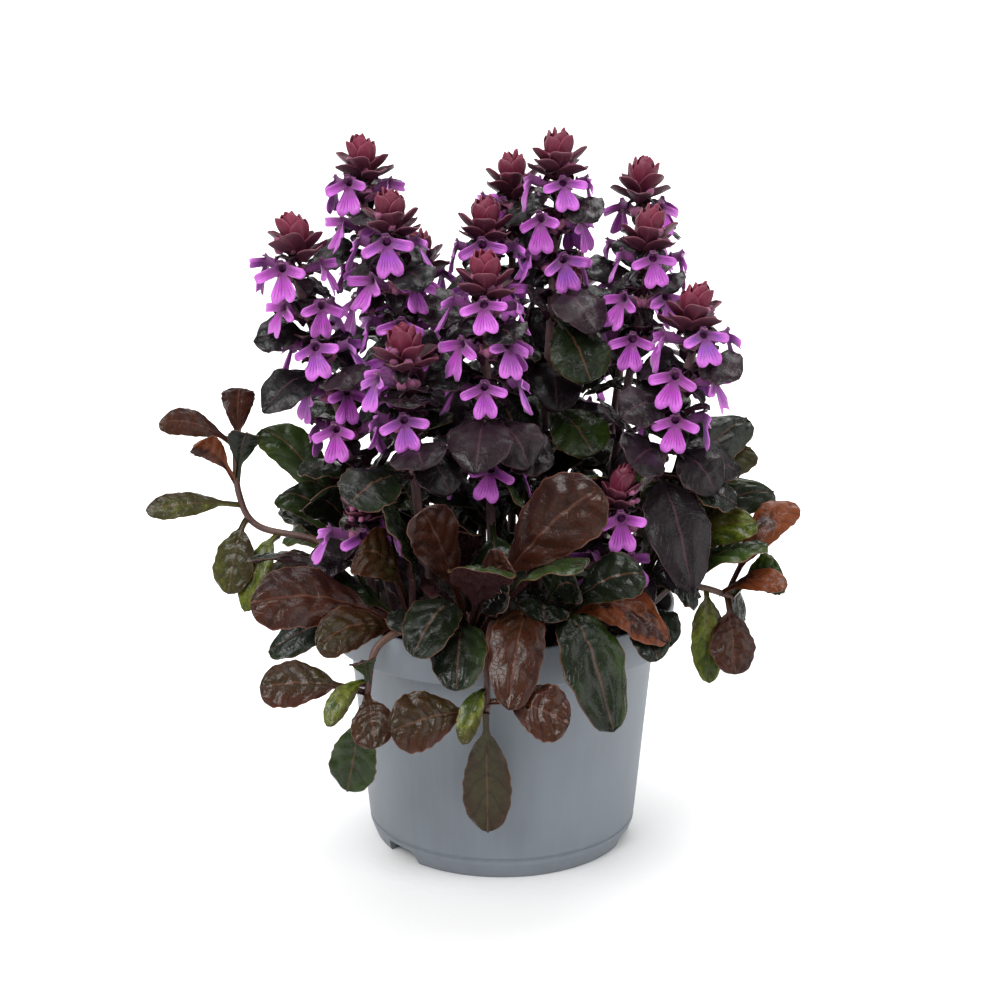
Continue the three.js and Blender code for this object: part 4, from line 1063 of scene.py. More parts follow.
class Nodes:
    """A node tree with short ways to add nodes and join them."""

    def __init__(self, tree):
        self.tree = tree

    def put(self, socket, value):
        """Joins a socket to another one, or sets its value. A colour may lack its alpha."""
        if isinstance(value, bpy.types.NodeSocket):
            self.tree.links.new(value, socket)
        elif socket.type == "RGBA":
            socket.default_value = (*value[:3], 1)
        else:
            socket.default_value = value

    def add(self, kind, inputs=(), **settings):
        node = self.tree.nodes.new(kind)
        for name, value in settings.items():
            setattr(node, name, value)
        for key, value in dict(inputs).items():
            self.put(node.inputs[key], value)
        return node

    def math(self, operation, *values):
        return self.add("ShaderNodeMath", enumerate(values), operation=operation).outputs[0]

    def times(self, *values):
        return self.math("MULTIPLY", *values)

    def mask(self, value, low, high):
        """0 where the value is at low and 1 where it is at high, smooth between."""
        inputs = {"Value": value, "From Min": low, "From Max": high}
        return self.add("ShaderNodeMapRange", inputs, interpolation_type="SMOOTHSTEP").outputs["Result"]

    def between(self, value, low, high):
        """Makes a value that runs from 0 to 1 run from low to high."""
        inputs = {"Value": value, "To Min": low, "To Max": high}
        return self.add("ShaderNodeMapRange", inputs).outputs["Result"]

    def place(self):
        return self.add("ShaderNodeTexCoord").outputs["Object"]

    def noise(self, scale, detail, place=None):
        inputs = {"Vector": place or self.place(), "Scale": scale, "Detail": detail}
        return self.add("ShaderNodeTexNoise", inputs).outputs["Fac"]

    def cells(self, scale):
        """How far a point is from the nearest edge between cells."""
        inputs = {"Vector": self.place(), "Scale": scale}
        return self.add("ShaderNodeTexVoronoi", inputs, feature="DISTANCE_TO_EDGE").outputs["Distance"]

    def trait(self, name):
        return self.add("ShaderNodeAttribute", attribute_name=name).outputs["Fac"]

    def across(self):
        """The piece's own coordinate from one side of a leaf to the other."""
        uv = self.add("ShaderNodeUVMap", uv_map="surface").outputs["UV"]
        return self.add("ShaderNodeSeparateXYZ", {"Vector": uv}).outputs["X"]

    def mix(self, factor, first, second):
        node = self.add("ShaderNodeMix", data_type="RGBA")
        for index, value in ((0, factor), (6, first), (7, second)):
            self.put(node.inputs[index], value)
        return node.outputs[2]

    def ramp(self, factor, stops):
        node = self.add("ShaderNodeValToRGB", {"Fac": factor})
        elements = node.color_ramp.elements
        while len(elements) < len(stops):
            elements.new(0.5)
        for element, (place, colour) in zip(elements, stops):
            element.position = place
            element.color = (*colour, 1)
        return node.outputs["Color"]

    def bump(self, height, distance):
        inputs = {"Height": height, "Distance": distance, "Strength": 1.0}
        return self.add("ShaderNodeBump", inputs).outputs["Normal"]

    def effect(self, group, **inputs):
        return self.add("ShaderNodeGroup", inputs, node_tree=group).outputs


def new_effect(name, inputs, outputs, build):
    """A group with named inputs and outputs that more than one material uses."""
    group = bpy.data.node_groups.new(name, "ShaderNodeTree")
    sockets = group.interface
    for socket, value in inputs.items():
        given = sockets.new_socket(socket, in_out="INPUT", socket_type="NodeSocketFloat")
        given.default_value = value
    for socket in outputs:
        sockets.new_socket(socket, in_out="OUTPUT", socket_type="NodeSocketFloat")
    nodes = Nodes(group)
    given = nodes.add("NodeGroupInput").outputs
    target = nodes.add("NodeGroupOutput")
    for socket, value in build(nodes, given).items():
        nodes.put(target.inputs[socket], value)
    return group


def new_material(name, build, **constants):
    """A material whose shader gets what build makes, and constants on its own sockets."""
    material = bpy.data.materials.new(name)
    material.use_nodes = True
    shader = material.node_tree.nodes["Principled BSDF"]
    nodes = Nodes(material.node_tree)
    for socket, value in {**constants, **build(nodes)}.items():
        nodes.put(shader.inputs[socket.replace("_", " ")], value)
    return material


def shaded(colour, share):
    return [share * channel for channel in colour]


def leaf_veins():
    """Masks of a leaf's midrib, net, margin and very edge, and of the valleys along the side veins, where
    shade is painted.
    """

    def build(nodes, given):
        side = nodes.math("ABSOLUTE", nodes.math("MULTIPLY_ADD", nodes.across(), 2.0, -1.0))
        phase = nodes.times(nodes.trait("phase"), math.pi)
        lateral = nodes.math("ABSOLUTE", nodes.math("SINE", phase))
        return {
            "Net": nodes.mask(nodes.cells(given["Net"]), 0.12, 0.0),
            "Midrib": nodes.mask(side, 0.06, 0.02),
            "Valley Shade": nodes.mask(lateral, 0.45, 0.0),
            "Margin": nodes.mask(side, 0.3, 0.95),
            "Edge": nodes.mask(side, 0.955, 0.99),
        }

    outputs = ("Net", "Midrib", "Valley Shade", "Margin", "Edge")
    return new_effect("Leaf Veins", {"Net": 500.0}, outputs, build)


def mottle():
    """Broad and fine patches that differ from place to place."""

    def build(nodes, given):
        broad = nodes.noise(given["Broad"], 2.0)
        fine = nodes.noise(given["Fine"], 3.0)
        both = nodes.math("ADD", nodes.times(broad, 0.65), nodes.times(fine, 0.35))
        return {"Patches": nodes.mask(both, 0.32, 0.68), "Fine": fine}

    return new_effect("Mottle", {"Broad": 60.0, "Fine": 300.0}, ("Patches", "Fine"), build)


def foliage(name, effects, stops, underside, edge, gloss, spread, specular, back=1.0):
    """A glossy leaf's material: its shade runs along stops, and its back has another colour."""

    def build(nodes):
        veins = nodes.effect(effects["veins"])
        patches = nodes.effect(effects["mottle"], Broad=70.0, Fine=420.0)
        shift = nodes.between(patches["Patches"], -spread, spread)
        aside = nodes.math("MULTIPLY_ADD", veins["Margin"], 0.05, shift)
        colour = nodes.ramp(nodes.math("ADD", nodes.trait("shade"), aside), stops)
        # painted shade in the valleys along the side veins, together with random fine dark mottling, darkens
        # the leaf's colour
        fine = nodes.between(patches["Fine"], 0.0, 0.3)
        depth = nodes.math("MULTIPLY_ADD", veins["Valley Shade"], 0.3, fine)
        mottled_and_valley_shaded = nodes.mix(depth, colour, PAINTED_VALLEY_SHADE)
        veined = nodes.mix(nodes.times(veins["Midrib"], 0.3), mottled_and_valley_shaded, edge)
        edged = nodes.mix(nodes.times(veins["Edge"], 0.5), veined, edge)
        under = nodes.times(nodes.mask(nodes.trait("under"), 0.4, 0.6), back)
        return {
            "Base Color": nodes.mix(under, edged, underside),
            "Roughness": nodes.between(patches["Patches"], *gloss),
            "Normal": nodes.bump(nodes.math("SUBTRACT", 1.0, veins["Net"]), 0.00004),
        }

    return new_material(name, build, Specular_IOR_Level=specular)


def petal_material(looks, effects):
    """Petals: paler edges, a dark throat and fine dark veins that fan along the lobes. The throat is partly
    its own dark colour and partly painted shade down inside the tube.
    """

    def build(nodes):
        patches = nodes.effect(effects["mottle"], Broad=150.0, Fine=900.0)
        wave = nodes.math("MULTIPLY_ADD", patches["Fine"], 0.5, nodes.trait("fan"))
        fan = nodes.math("ABSOLUTE", nodes.math("SINE", nodes.times(wave, math.pi)))
        lines = nodes.times(nodes.mask(fan, 0.62, 0.12), nodes.mask(nodes.trait("rim"), 1.0, 0.7))
        edge = nodes.mask(nodes.trait("rim"), 0.5, 1.0)
        tinted = nodes.mix(nodes.trait("tint"), looks.petal, looks.petal_blue)
        base = nodes.mix(edge, tinted, looks.petal_edge)
        patched = nodes.mix(nodes.between(patches["Patches"], 0.0, 0.35), base, looks.throat)
        lined = nodes.mix(nodes.times(lines, 0.8), patched, looks.throat)
        # darker towards the throat: the throat's own colour on the lip, and painted shade inside the tube,
        # whose points have no reach
        deep = nodes.times(nodes.mask(nodes.trait("reach"), 0.55, 0.14), 0.85)
        return {
            "Base Color": nodes.mix(deep, lined, looks.throat),
            "Roughness": nodes.between(patches["Fine"], 0.42, 0.62),
            "Normal": nodes.bump(nodes.math("SUBTRACT", patches["Fine"], lines), 0.00012),
        }

    return new_material("Petal", build, Sheen_Weight=0.25, Sheen_Roughness=0.5)


def downy_material(name, effects, dark, light, sheen=0.0, roughness=(0.55, 0.75)):
    """Downy skin of stalks and calyces: dark and light patches with fine bumps."""

    def build(nodes):
        patches = nodes.effect(effects["mottle"], Broad=140.0, Fine=1400.0)
        return {
            "Base Color": nodes.mix(patches["Patches"], dark, light),
            "Roughness": nodes.between(patches["Fine"], *roughness),
            "Normal": nodes.bump(patches["Fine"], 0.0003),
        }

    return new_material(name, build, Sheen_Weight=sheen)


def pot_material(looks):
    """Moulded plastic: faint streaks along the wall, fine grain and a little dust."""

    def build(nodes):
        broad = nodes.noise(18.0, 3.0)
        grain = nodes.noise(1500.0, 2.0)
        stretched = nodes.add("ShaderNodeMapping", {"Vector": nodes.place(), "Scale": STREAK_SCALE})
        streaks = nodes.noise(1.0, 2.0, stretched.outputs["Vector"])
        patchy = nodes.mask(nodes.math("ADD", broad, nodes.times(streaks, 0.4)), 0.4, 1.0)
        return {
            "Base Color": nodes.mix(patchy, shaded(looks.plastic, 0.86), shaded(looks.plastic, 1.1)),
            "Roughness": nodes.between(patchy, 0.42, 0.56),
            "Normal": nodes.bump(nodes.math("ADD", nodes.times(grain, 0.6), streaks), 0.00006),
        }

    return new_material("Nursery Plastic", build)


def compost_material(looks):
    """Rough dark compost with lighter bits."""

    def build(nodes):
        broad = nodes.noise(160.0, 4.0)
        fine = nodes.noise(900.0, 3.0)
        bits = nodes.mask(nodes.math("ADD", broad, nodes.times(fine, 0.5)), 0.5, 1.1)
        return {
            "Base Color": nodes.mix(bits, looks.compost, shaded(looks.compost, 5)),
            "Roughness": nodes.between(fine, 0.8, 1.0),
            "Normal": nodes.bump(nodes.math("ADD", broad, fine), 0.0012),
        }

    return new_material("Compost", build)


def plant_materials(looks):
    """Every material that the plant uses, by its finish."""
    effects = {"veins": leaf_veins(), "mottle": mottle()}
    return {
        "leaf": foliage(
            "Leaf", effects, LEAF_STOPS, underside=(0.03, 0.011, 0.012), edge=(0.20, 0.08, 0.05),
            gloss=(0.2, 0.32), spread=0.05, specular=0.24,
        ),
        "bract": foliage(
            "Bract", effects, BRACT_STOPS, underside=(0.035, 0.010, 0.020), edge=(0.12, 0.05, 0.07),
            gloss=(0.22, 0.36), spread=0.3, specular=0.2,
        ),
        "scale": foliage(
            "Bud Scale", effects, SCALE_STOPS, underside=(0.10, 0.014, 0.035), edge=(0.30, 0.08, 0.12),
            gloss=(0.4, 0.6), spread=0.2, specular=0.3, back=0.35,
        ),
        "petal": petal_material(looks, effects),
        "calyx": downy_material("Calyx", effects, (0.08, 0.012, 0.03), (0.24, 0.04, 0.08), 0.3),
        "bud": downy_material("Bud", effects, (0.13, 0.016, 0.06), (0.34, 0.08, 0.20), 0.4),
        "stem": downy_material("Stem", effects, (0.05, 0.018, 0.024), (0.13, 0.05, 0.05), 0.4),
        "hair": downy_material("Hair", effects, (0.20, 0.10, 0.12), (0.42, 0.28, 0.30)),
        "stalk": downy_material(
            "Leaf Stalk", effects, (0.06, 0.02, 0.02), (0.11, 0.055, 0.035), roughness=(0.35, 0.55)
        ),
        "anther": downy_material("Anther", effects, (0.10, 0.03, 0.07), (0.30, 0.13, 0.22)),
    }


# Plants

# The scales of the bud at a stem's tip, ring by ring: how deep under the top a scale's root and
# its tip lie, its reach, bulge, width and shade, then how many there are and the first one's turn.
HEAD_RINGS = (
    (17.0, 13.0, 12.8, 0.7, 9.5, 0.0, 2, 45),
    (16.0, 11.0, 12.0, 0.7, 9.0, 0.1, 2, 135),
    (14.5, 7.6, 11.6, 0.75, 8.5, 0.3, 2, 0),
    (13.5, 6.4, 10.2, 0.75, 8.0, 0.4, 2, 90),
    (12.5, 2.2, 5.6, 1.1, 8.0, 0.75, 4, 45),
    (11.5, 0.4, 3.4, 1.5, 7.5, 0.9, 3, 10),
    (10.0, -0.6, 1.4, 1.8, 5.5, 1.0, 2, 70),
)
HEAD_BUDS = ((14.5, 6.5), (11.0, 5.0))  # depth under the top and reach
BUDS_IN_RING = 5
LEAFLET_RINGS = ((-5.0, 7.0, 4), (2.0, 8.5, 4), (9.0, 9.5, 3))  # depth under a whorl, reach and count
ANTHER_PLACES = (-1, -0.3, 0.4, 1)  # across the throat
STEM_REACH = 0.8  # how far from a stem's middle what grows round it starts
FLOWER_FORMS = 8
HAIRS = 220  # on each flowering stem
LOWER_SHADE = 0.25  # the lightest that a stem's lower leaves are
CROWN_SHADES = (0.04, 0.27)
RUNNER_SHADES = (0.3, 0.8)


class Forms:
    """Everything that is modelled once and copied."""

    def __init__(self):
        self.leaves = {
            name: [LeafForm(kind, seed) for seed in LEAF_SEEDS] for name, kind in LEAF_KINDS.items()
        }
        self.flowers = [FlowerForm(FLOWER_SEED + k) for k in range(FLOWER_FORMS)]
        self.calyx = ring_form(CALYX_PROFILE, 10, teeth=0.8)
        self.bud = ring_form(BUD_PROFILE, 6)
        self.anther = ring_form(ANTHER_PROFILE, 5)
        self.stalk = StalkForm(10)
        self.hair = ring_form(HAIR_PROFILE, 3)


def add_head(gathering, forms, plant, random, slot):
    """The bud at a stem's tip: crowns of cupped scales, each over the gaps of the one below."""
    top = plant["tip"]
    lean = (plant["stalk"].line(1) - plant["stalk"].line(0.9)).normalized()
    for root_depth, tip_depth, reach, bulge, width, shade, count, first in HEAD_RINGS:
        middle_depth = 0.62 * root_depth + 0.38 * tip_depth
        for i in range(count):
            out = around(plant["turn"] + 360 * i / count + first + jitter(random, 10))
            wide = reach * plant["bud"] * (0.92 + 0.12 * random())
            scale = {
                "root": top - lean * root_depth + out * STEM_REACH,
                "control": top - lean * middle_depth + out * (wide * bulge),
                "tip": top - lean * (tip_depth + 1.2 * random()) + out * wide,
                "side": out.cross(lean).normalized(),
                "width": width * (0.5 + 0.5 * plant["bud"]),
            }
            add_leaf(gathering, forms.leaves["scale"], scale, random, shade, SCALE_THICKNESS, slot)


def add_flower(gathering, forms, item, random):
    """A flower with its calyx and anthers. Their slots are petal 0, calyx 1 and anther 2."""
    form = forms.flowers[int(random() * len(forms.flowers))]
    traits = {"fan": form.fan, "reach": form.reach, "rim": form.rim, "tint": random() ** 2}
    gathering.add(form.master, form.place(item, jitter(random, 30)), 0, **traits)
    root = item["root"] - item["out"] * 0.6
    add_pointed(gathering, forms.calyx, 1, root, item["out"], item["size"])
    across, down, front, throat = flower_frame(item)
    # a flat bud deep in the throat closes the tube, painted in the throat colour as the dark shade inside it
    shade_plug = {"fan": 0.5, "reach": 0.0, "rim": 0.0, "tint": 0.0}
    add_pointed(gathering, forms.bud, 0, throat - front * 3.6, front, 0.95, 0.3, **shade_plug)
    for side in ANTHER_PLACES:
        low = 0.9 + 0.5 * random()
        place = throat + across * (0.75 * side) - down * low + front * (1.0 + 0.9 * random())
        out = front + across * (0.3 * side) - down * 0.4
        add_pointed(gathering, forms.anther, 2, place, out, 0.8)


def add_buds(gathering, forms, plant, random):
    """Closed buds round every whorl and among the scales of the head, in slot 3."""
    for depth, reach in HEAD_BUDS:
        for i in range(BUDS_IN_RING):
            turn = 360 / BUDS_IN_RING
            out = around(turn * (i + 0.4 * random())) + UP * 0.5
            place = plant["tip"] - UP * depth + around(turn * i) * (0.4 * reach * plant["bud"])
            add_pointed(gathering, forms.bud, 3, place, out, 0.8 * plant["bud"], 1.1)
    for k, band in enumerate(plant["whorls"]):
        count = 9 + k
        for i in range(count):
            azimuth = plant["turn"] + 360 * (i + 0.5 * random()) / count
            out = raised(azimuth, 5 + 45 * random())
            rise = UP * (jitter(random, 1.5) - 1.2)
            place = plant["stalk"].line(band["t"]) + around(azimuth) * STEM_REACH + rise
            add_pointed(gathering, forms.bud, 3, place, out, 0.75 + 0.35 * random(), 1.15)


def add_leaflets(gathering, forms, plant, random, slot):
    """Short dark leaves close round the stem, over, at and under each whorl."""
    for band in plant["whorls"]:
        middle = plant["stalk"].line(band["t"])
        for depth, reach, count in LEAFLET_RINGS:
            for i in range(count):
                out = around(plant["turn"] + 360 * (i + 0.6 * random()) / count)
                root = middle - UP * (depth + random()) + out * 0.9
                wide = reach * (0.85 + 0.3 * random())
                leaf = {
                    "root": root,
                    "control": root + out * (0.6 * wide) + UP * 2.5,
                    "tip": root + out * (0.85 * wide) + UP * (4 - 9 * random()),
                    "side": out.cross(UP).normalized(),
                    "width": 0.8 * wide,
                }
                shade = random()
                add_leaf(gathering, forms.leaves["leaflet"], leaf, random, shade, SMALL_LEAF_THICKNESS, slot)


def add_hairs(gathering, forms, stalk, random, slot):
    """Fine hairs that stand out from a stem."""
    for _ in range(HAIRS):
        t = 0.12 + 0.86 * random()
        out = around(360 * random())
        root = stalk.line(t) + out * (0.95 * stalk.radius(t))
        length = 0.6 + 0.8 * random()
        lean = out + UP * (0.8 * random() - 0.5)
        add_pointed(gathering, forms.hair, slot, root, lean, stretch=length)


def build_flowering_stem(plant, forms, finishes, random):
    """A stem as three pieces: its hairy stalk, its leaves and its flowers."""
    name = plant["name"]
    stalk = plant["stalk"]
    stem = Gathering()
    places = [band["t"] for band in plant["whorls"]]
    stem.add(forms.stalk.master, forms.stalk.follow(stalk, (1, 0, 0), SQUARENESS, places))
    add_hairs(stem, forms, stalk, random, 1)
    leaves = Gathering()
    flowers = Gathering()
    for item in plant["items"]:
        if item["kind"] == "flower":
            add_flower(flowers, forms, item, random)
        elif item["kind"] == "bract":
            add_leaf(leaves, forms.leaves["bract"], item, random, random(), SMALL_LEAF_THICKNESS, 1)
        else:
            shade = LOWER_SHADE * random()
            add_leaf(leaves, forms.leaves["small"], item, random, shade, SMALL_LEAF_THICKNESS)
    add_head(leaves, forms, plant, random, 2)
    add_leaflets(leaves, forms, plant, random, 1)
    add_buds(flowers, forms, plant, random)
    for part, gathering, wanted in (
        ("stalk", stem, ("stem", "hair")),
        ("leaves", leaves, ("leaf", "bract", "scale")),
        ("flowers", flowers, ("petal", "calyx", "anther", "bud")),
    ):
        gathering.piece(f"{name}_{part}", [finishes[key] for key in wanted], name, "blooms")


def build_leafy(plant, forms, finishes, random, across, shades):
    """A crown or a runner: its stalk and its leaves."""
    name = plant["name"]
    gathering = Gathering()
    gathering.add(forms.stalk.master, forms.stalk.follow(plant["stalk"], across), 1)
    low, high = shades
    for item in plant["items"]:
        drawn = low + (high - low) * random()
        shade = drawn if item["shade"] is None else item["shade"]
        add_leaf(gathering, forms.leaves[item["kind"]], item, random, shade)
    gathering.piece(f"{name}_leaves", [finishes["leaf"], finishes["stalk"]], name, "leaves")


# Pot and soil


def turned(name, profile, sides):
    """A closed form of revolution from a profile of (radius, height) in millimetres."""
    shape = rings(sides, len(profile))
    for vertex in shape.data.vertices:
        x, y, ring = vertex.co
        radius, height = profile[round(ring)]
        vertex.co = (x * radius * MM, y * radius * MM, height * MM)
    shape.name = name
    shape.data.name = name
    return closed(shape)


def wall_radius(z):
    share = (z - WALL_FOOT) / (COLLAR_FOOT - WALL_FOOT)
    return WALL_FOOT_RADIUS + (WALL_TOP_RADIUS - WALL_FOOT_RADIUS) * share


def arc(radius, height, bend, start, end, steps):
    """Points of (radius, height) on an arc round a centre, with its angles in degrees."""
    angles = [math.radians(start + (end - start) * k / steps) for k in range(steps + 1)]
    return [(radius + bend * math.cos(a), height + bend * math.sin(a)) for a in angles]


def pot_profile():
    """The pot's section: under its floor, up outside, over the lip and down inside."""
    floor_top = FLOOR + WALL
    inside = RIM_RADIUS - COLLAR_TAPER - WALL
    lip = WALL / 2
    under = [
        (0, 0),
        (PAD_RADIUS - 0.6, 0),
        *arc(PAD_RADIUS - 0.6, 0.6, 0.6, -90, 0, 3),
        (PAD_RADIUS + 2, FLOOR),
        (FOOT_INSIDE, FLOOR),
        (FOOT_INSIDE, 0.4),
    ]
    foot = [
        *arc(FOOT_INSIDE + 0.5, 0.5, 0.5, 180, 270, 2),
        *arc(FOOT_INSIDE + 1.2, 0.9, 0.9, -90, -20, 3),
        (FOOT_INSIDE + 3.1, 3.2),
        *arc(WALL_FOOT_RADIUS - 1.2, 5.9, 1.2, -30, 0, 3),
    ]
    line = [(WALL_FOOT_RADIUS + 0.05, 7.0), (WALL_FOOT_RADIUS - 0.35, 7.3), (WALL_FOOT_RADIUS - 0.3, 7.9)]
    wall = [(wall_radius(z), z) for z in (8.4, *range(16, COLLAR_FOOT - 1, 10))]
    collar = [
        *arc(WALL_TOP_RADIUS + 0.9, COLLAR_FOOT - 0.6, 0.9, 180, 90, 3),
        (RIM_RADIUS - 2.0, COLLAR_FOOT + 0.6),
        *arc(RIM_RADIUS - 1.6, COLLAR_FOOT + 1.4, 0.8, -90, 0, 4),
        (RIM_RADIUS - 0.4, COLLAR_FOOT + 8),
        *arc(RIM_RADIUS - lip, POT_HEIGHT - lip, lip, 0, 180, 8),
        (inside + 0.4, COLLAR_FOOT + 8),
        (inside, COLLAR_FOOT + 1.2 + WALL),
    ]
    inner = [
        (WALL_TOP_RADIUS - WALL, COLLAR_FOOT + WALL),
        (wall_radius(floor_top) - WALL, floor_top),
        (PAD_RADIUS + 3.4, floor_top),
        (PAD_RADIUS + 1.4, WALL),
        (0, WALL),
    ]
    return under + foot + line + wall + collar + inner


def cut(shape, cutter):
    finish_with(shape, "BOOLEAN", operation="DIFFERENCE", solver="MANIFOLD", object=cutter)
    bpy.data.objects.remove(cutter)


def prism(points, depth, place, turn):
    """An upright outline of (across, up) made deep, then moved and turned about the pot's axis."""
    circle = bpy.ops.mesh.primitive_circle_add
    shape = new_object(circle, vertices=len(points), radius=1, fill_type="NGON")
    for vertex, (x, z) in zip(shape.data.vertices, points):
        vertex.co = (x * MM, 0, z * MM)
    with editing(shape):
        bpy.ops.mesh.extrude_region_move(TRANSFORM_OT_translate={"value": (0, depth * MM, 0)})
        turn_outwards()
    for vertex in shape.data.vertices:
        co = vertex.co + Vector((0, place * MM, 0))
        co.rotate(Quaternion(UP, math.radians(turn)))
        vertex.co = co
    return shape


def notch_outline():
    """A foot notch: sides that slope inwards to rounded corners."""
    half = NOTCH_WIDTH / 2
    top = FLOOR - 0.1
    right = [(half, -1), (half - 0.6, 1.2), *arc(half - 3.4, top - 2.2, 2.2, 15, 90, 5)]
    return right + [(-x, z) for x, z in reversed(right)]


def build_pot(finish):
    """The turned pot, with its foot notches and drain holes cut."""
    pot = turned("nursery_pot", pot_profile(), 144)
    for angle in NOTCH_ANGLES:
        cut(pot, prism(notch_outline(), CUT_DEPTH, NOTCH_START, angle - 90))
    for i in range(DRAIN_HOLES):
        place = around(360 * (i + 0.5) / DRAIN_HOLES) * DRAIN_CIRCLE + UP * FLOOR
        size = {"radius": DRAIN_RADIUS * MM, "depth": CUT_DEPTH * MM}
        cut(pot, new_object(bpy.ops.mesh.primitive_cylinder_add, vertices=24, location=place * MM, **size))
    bpy.ops.object.select_all(action="DESELECT")
    pot.select_set(True)
    bpy.context.view_layer.objects.active = pot
    bpy.ops.object.shade_smooth_by_angle(angle=math.radians(32))
    pot.data.materials.clear()
    pot.data.materials.append(finish)
    seat(pot, "pot")


def build_soil(finish, crumbs):
    """Compost with a lumpy top, and crumbs that lie on it."""
    gap = WALL + SOIL_GAP
    floor_top = FLOOR + WALL + 0.3
    top = RIM_RADIUS - COLLAR_TAPER - gap
    profile = [(0, floor_top), (wall_radius(floor_top) - gap, floor_top)]
    profile += [(WALL_TOP_RADIUS - gap, COLLAR_FOOT + 1.7), (top, COLLAR_FOOT + 3.5), (top, SOIL_LEVEL - 1)]
    profile += [(top * (1 - k / SOIL_RINGS), SOIL_LEVEL) for k in range(1, SOIL_RINGS + 1)]
    soil = turned("soil", profile, 96)
    for vertex in soil.data.vertices:
        if vertex.co.z > (SOIL_LEVEL - 0.5) * MM:
            lumps = noise.fractal(vertex.co * 90, 1.0, 2.0, 3) * 1.4 + noise.noise(vertex.co * 420) * 0.7
            vertex.co.z += (lumps - 0.4) * MM
    master = Master(soil)
    gathering = Gathering()
    gathering.add(master, master.points / MM)
    crumb = ring_form(CRUMB_PROFILE, 6)
    random = seeded(CRUMB_SEED)
    for _ in range(crumbs):
        reach = top * CRUMB_SPREAD * math.sqrt(random())
        place = around(360 * random()) * reach + UP * (SOIL_LEVEL + 0.2)
        size = 0.5 + 1.3 * random() ** 2
        lumps = 1 + 0.35 * np.sin(7 * crumb.points[:, [1, 2, 0]] + 6 * random())
        out = Vector((random() - 0.5, random() - 0.5, random() + 0.1))
        add_pointed(gathering, crumb, 0, place, out, size, lumps=lumps)
    gathering.piece("compost", [finish], "soil", "soil")


# Stage, in metres

BACKDROP_HALF_WIDTH = 3.2
BACKDROP_LENGTH = 4.8
BACKDROP_FLAT = 3.0  # length of its floor, before it curves up
BACKDROP_BEND = 0.9  # radius of the curve
BACKDROP_FRONT = 1.6  # how far the floor reaches in front of the plant
PLANT_MIDDLE = (0, 0, 0.13)
# Soft lights on the plant: name, place, size and power next to the key light's
LIGHTS = (
    ("key", (-0.9, -1.1, 1.5), 1.1, 1.0),
    ("fill", (1.3, -0.7, 0.9), 1.4, 0.35),
    ("top", (0.2, 0.5, 1.7), 1.2, 0.45),
)
CAMERA_PLACE = (-0.00075, -0.56, 0.258)
CAMERA_TILT = 77  # degrees from straight down


def build_backdrop(colour):
    """A pale floor that curves up behind the plant."""
    floor = new_object(bpy.ops.mesh.primitive_grid_add, x_subdivisions=40, y_subdivisions=120, size=2)
    floor.name = "floor"
    for vertex in floor.data.vertices:
        x, y, _ = vertex.co
        length = BACKDROP_LENGTH / 2 * (y + 1)
        past = max(0, length - BACKDROP_FLAT)
        angle = min(past / BACKDROP_BEND, math.pi / 2)
        back = BACKDROP_FLAT + BACKDROP_BEND * math.sin(angle) if past else length
        wall = max(0, past - BACKDROP_BEND * math.pi / 2)
        rise = BACKDROP_BEND * (1 - math.cos(angle)) + wall
        vertex.co = (x * BACKDROP_HALF_WIDTH, back - BACKDROP_FRONT, rise)
    for polygon in floor.data.polygons:
        polygon.use_smooth = True

    def build(nodes):
        fine = nodes.noise(260.0, 2.0)
        return {
            "Base Color": nodes.mix(nodes.noise(3.0, 3.0), shaded(colour, 0.97), colour),
            "Roughness": nodes.between(fine, 0.55, 0.7),
            "Normal": nodes.bump(fine, 0.0001),
        }

    floor.data.materials.append(new_material("Backdrop", build))


def add_light(name, place, target, size, power):
    """A square soft light that looks at a target."""
    light = new_object(bpy.ops.object.light_add, type="AREA", location=place)
    light.name = name
    light.data.size = size
    light.data.energy = power
    light.rotation_euler = (Vector(place) - Vector(target)).to_track_quat("Z", "Y").to_euler()


def build_stage(looks):
    """The backdrop, soft lights and the camera."""
    scene = bpy.context.scene
    build_backdrop(looks.floor)
    scene.world = scene.world or bpy.data.worlds.new("World")
    scene.world.use_nodes = True
    background = scene.world.node_tree.nodes["Background"]
    background.inputs["Color"].default_value = (1, 1, 1, 1)
    background.inputs["Strength"].default_value = looks.daylight
    for name, place, size, share in LIGHTS:
        add_light(name, place, PLANT_MIDDLE, size, looks.key_light * share)
    add_light("backdrop", (0, 0.7, 1.5), (0, 2.6, 0.3), 2.0, looks.backdrop_light)
    turn = (math.radians(CAMERA_TILT), 0, 0)
    scene.camera = new_object(bpy.ops.object.camera_add, location=CAMERA_PLACE, rotation=turn)
    scene.camera.data.lens = looks.lens
    scene.view_settings.view_transform = "Standard"


# Settings that a user would change


def colour_setting(name, description, default):
    return FloatVectorProperty(
        name=name, description=description, subtype="COLOR", size=3, min=0, max=1, default=default
    )


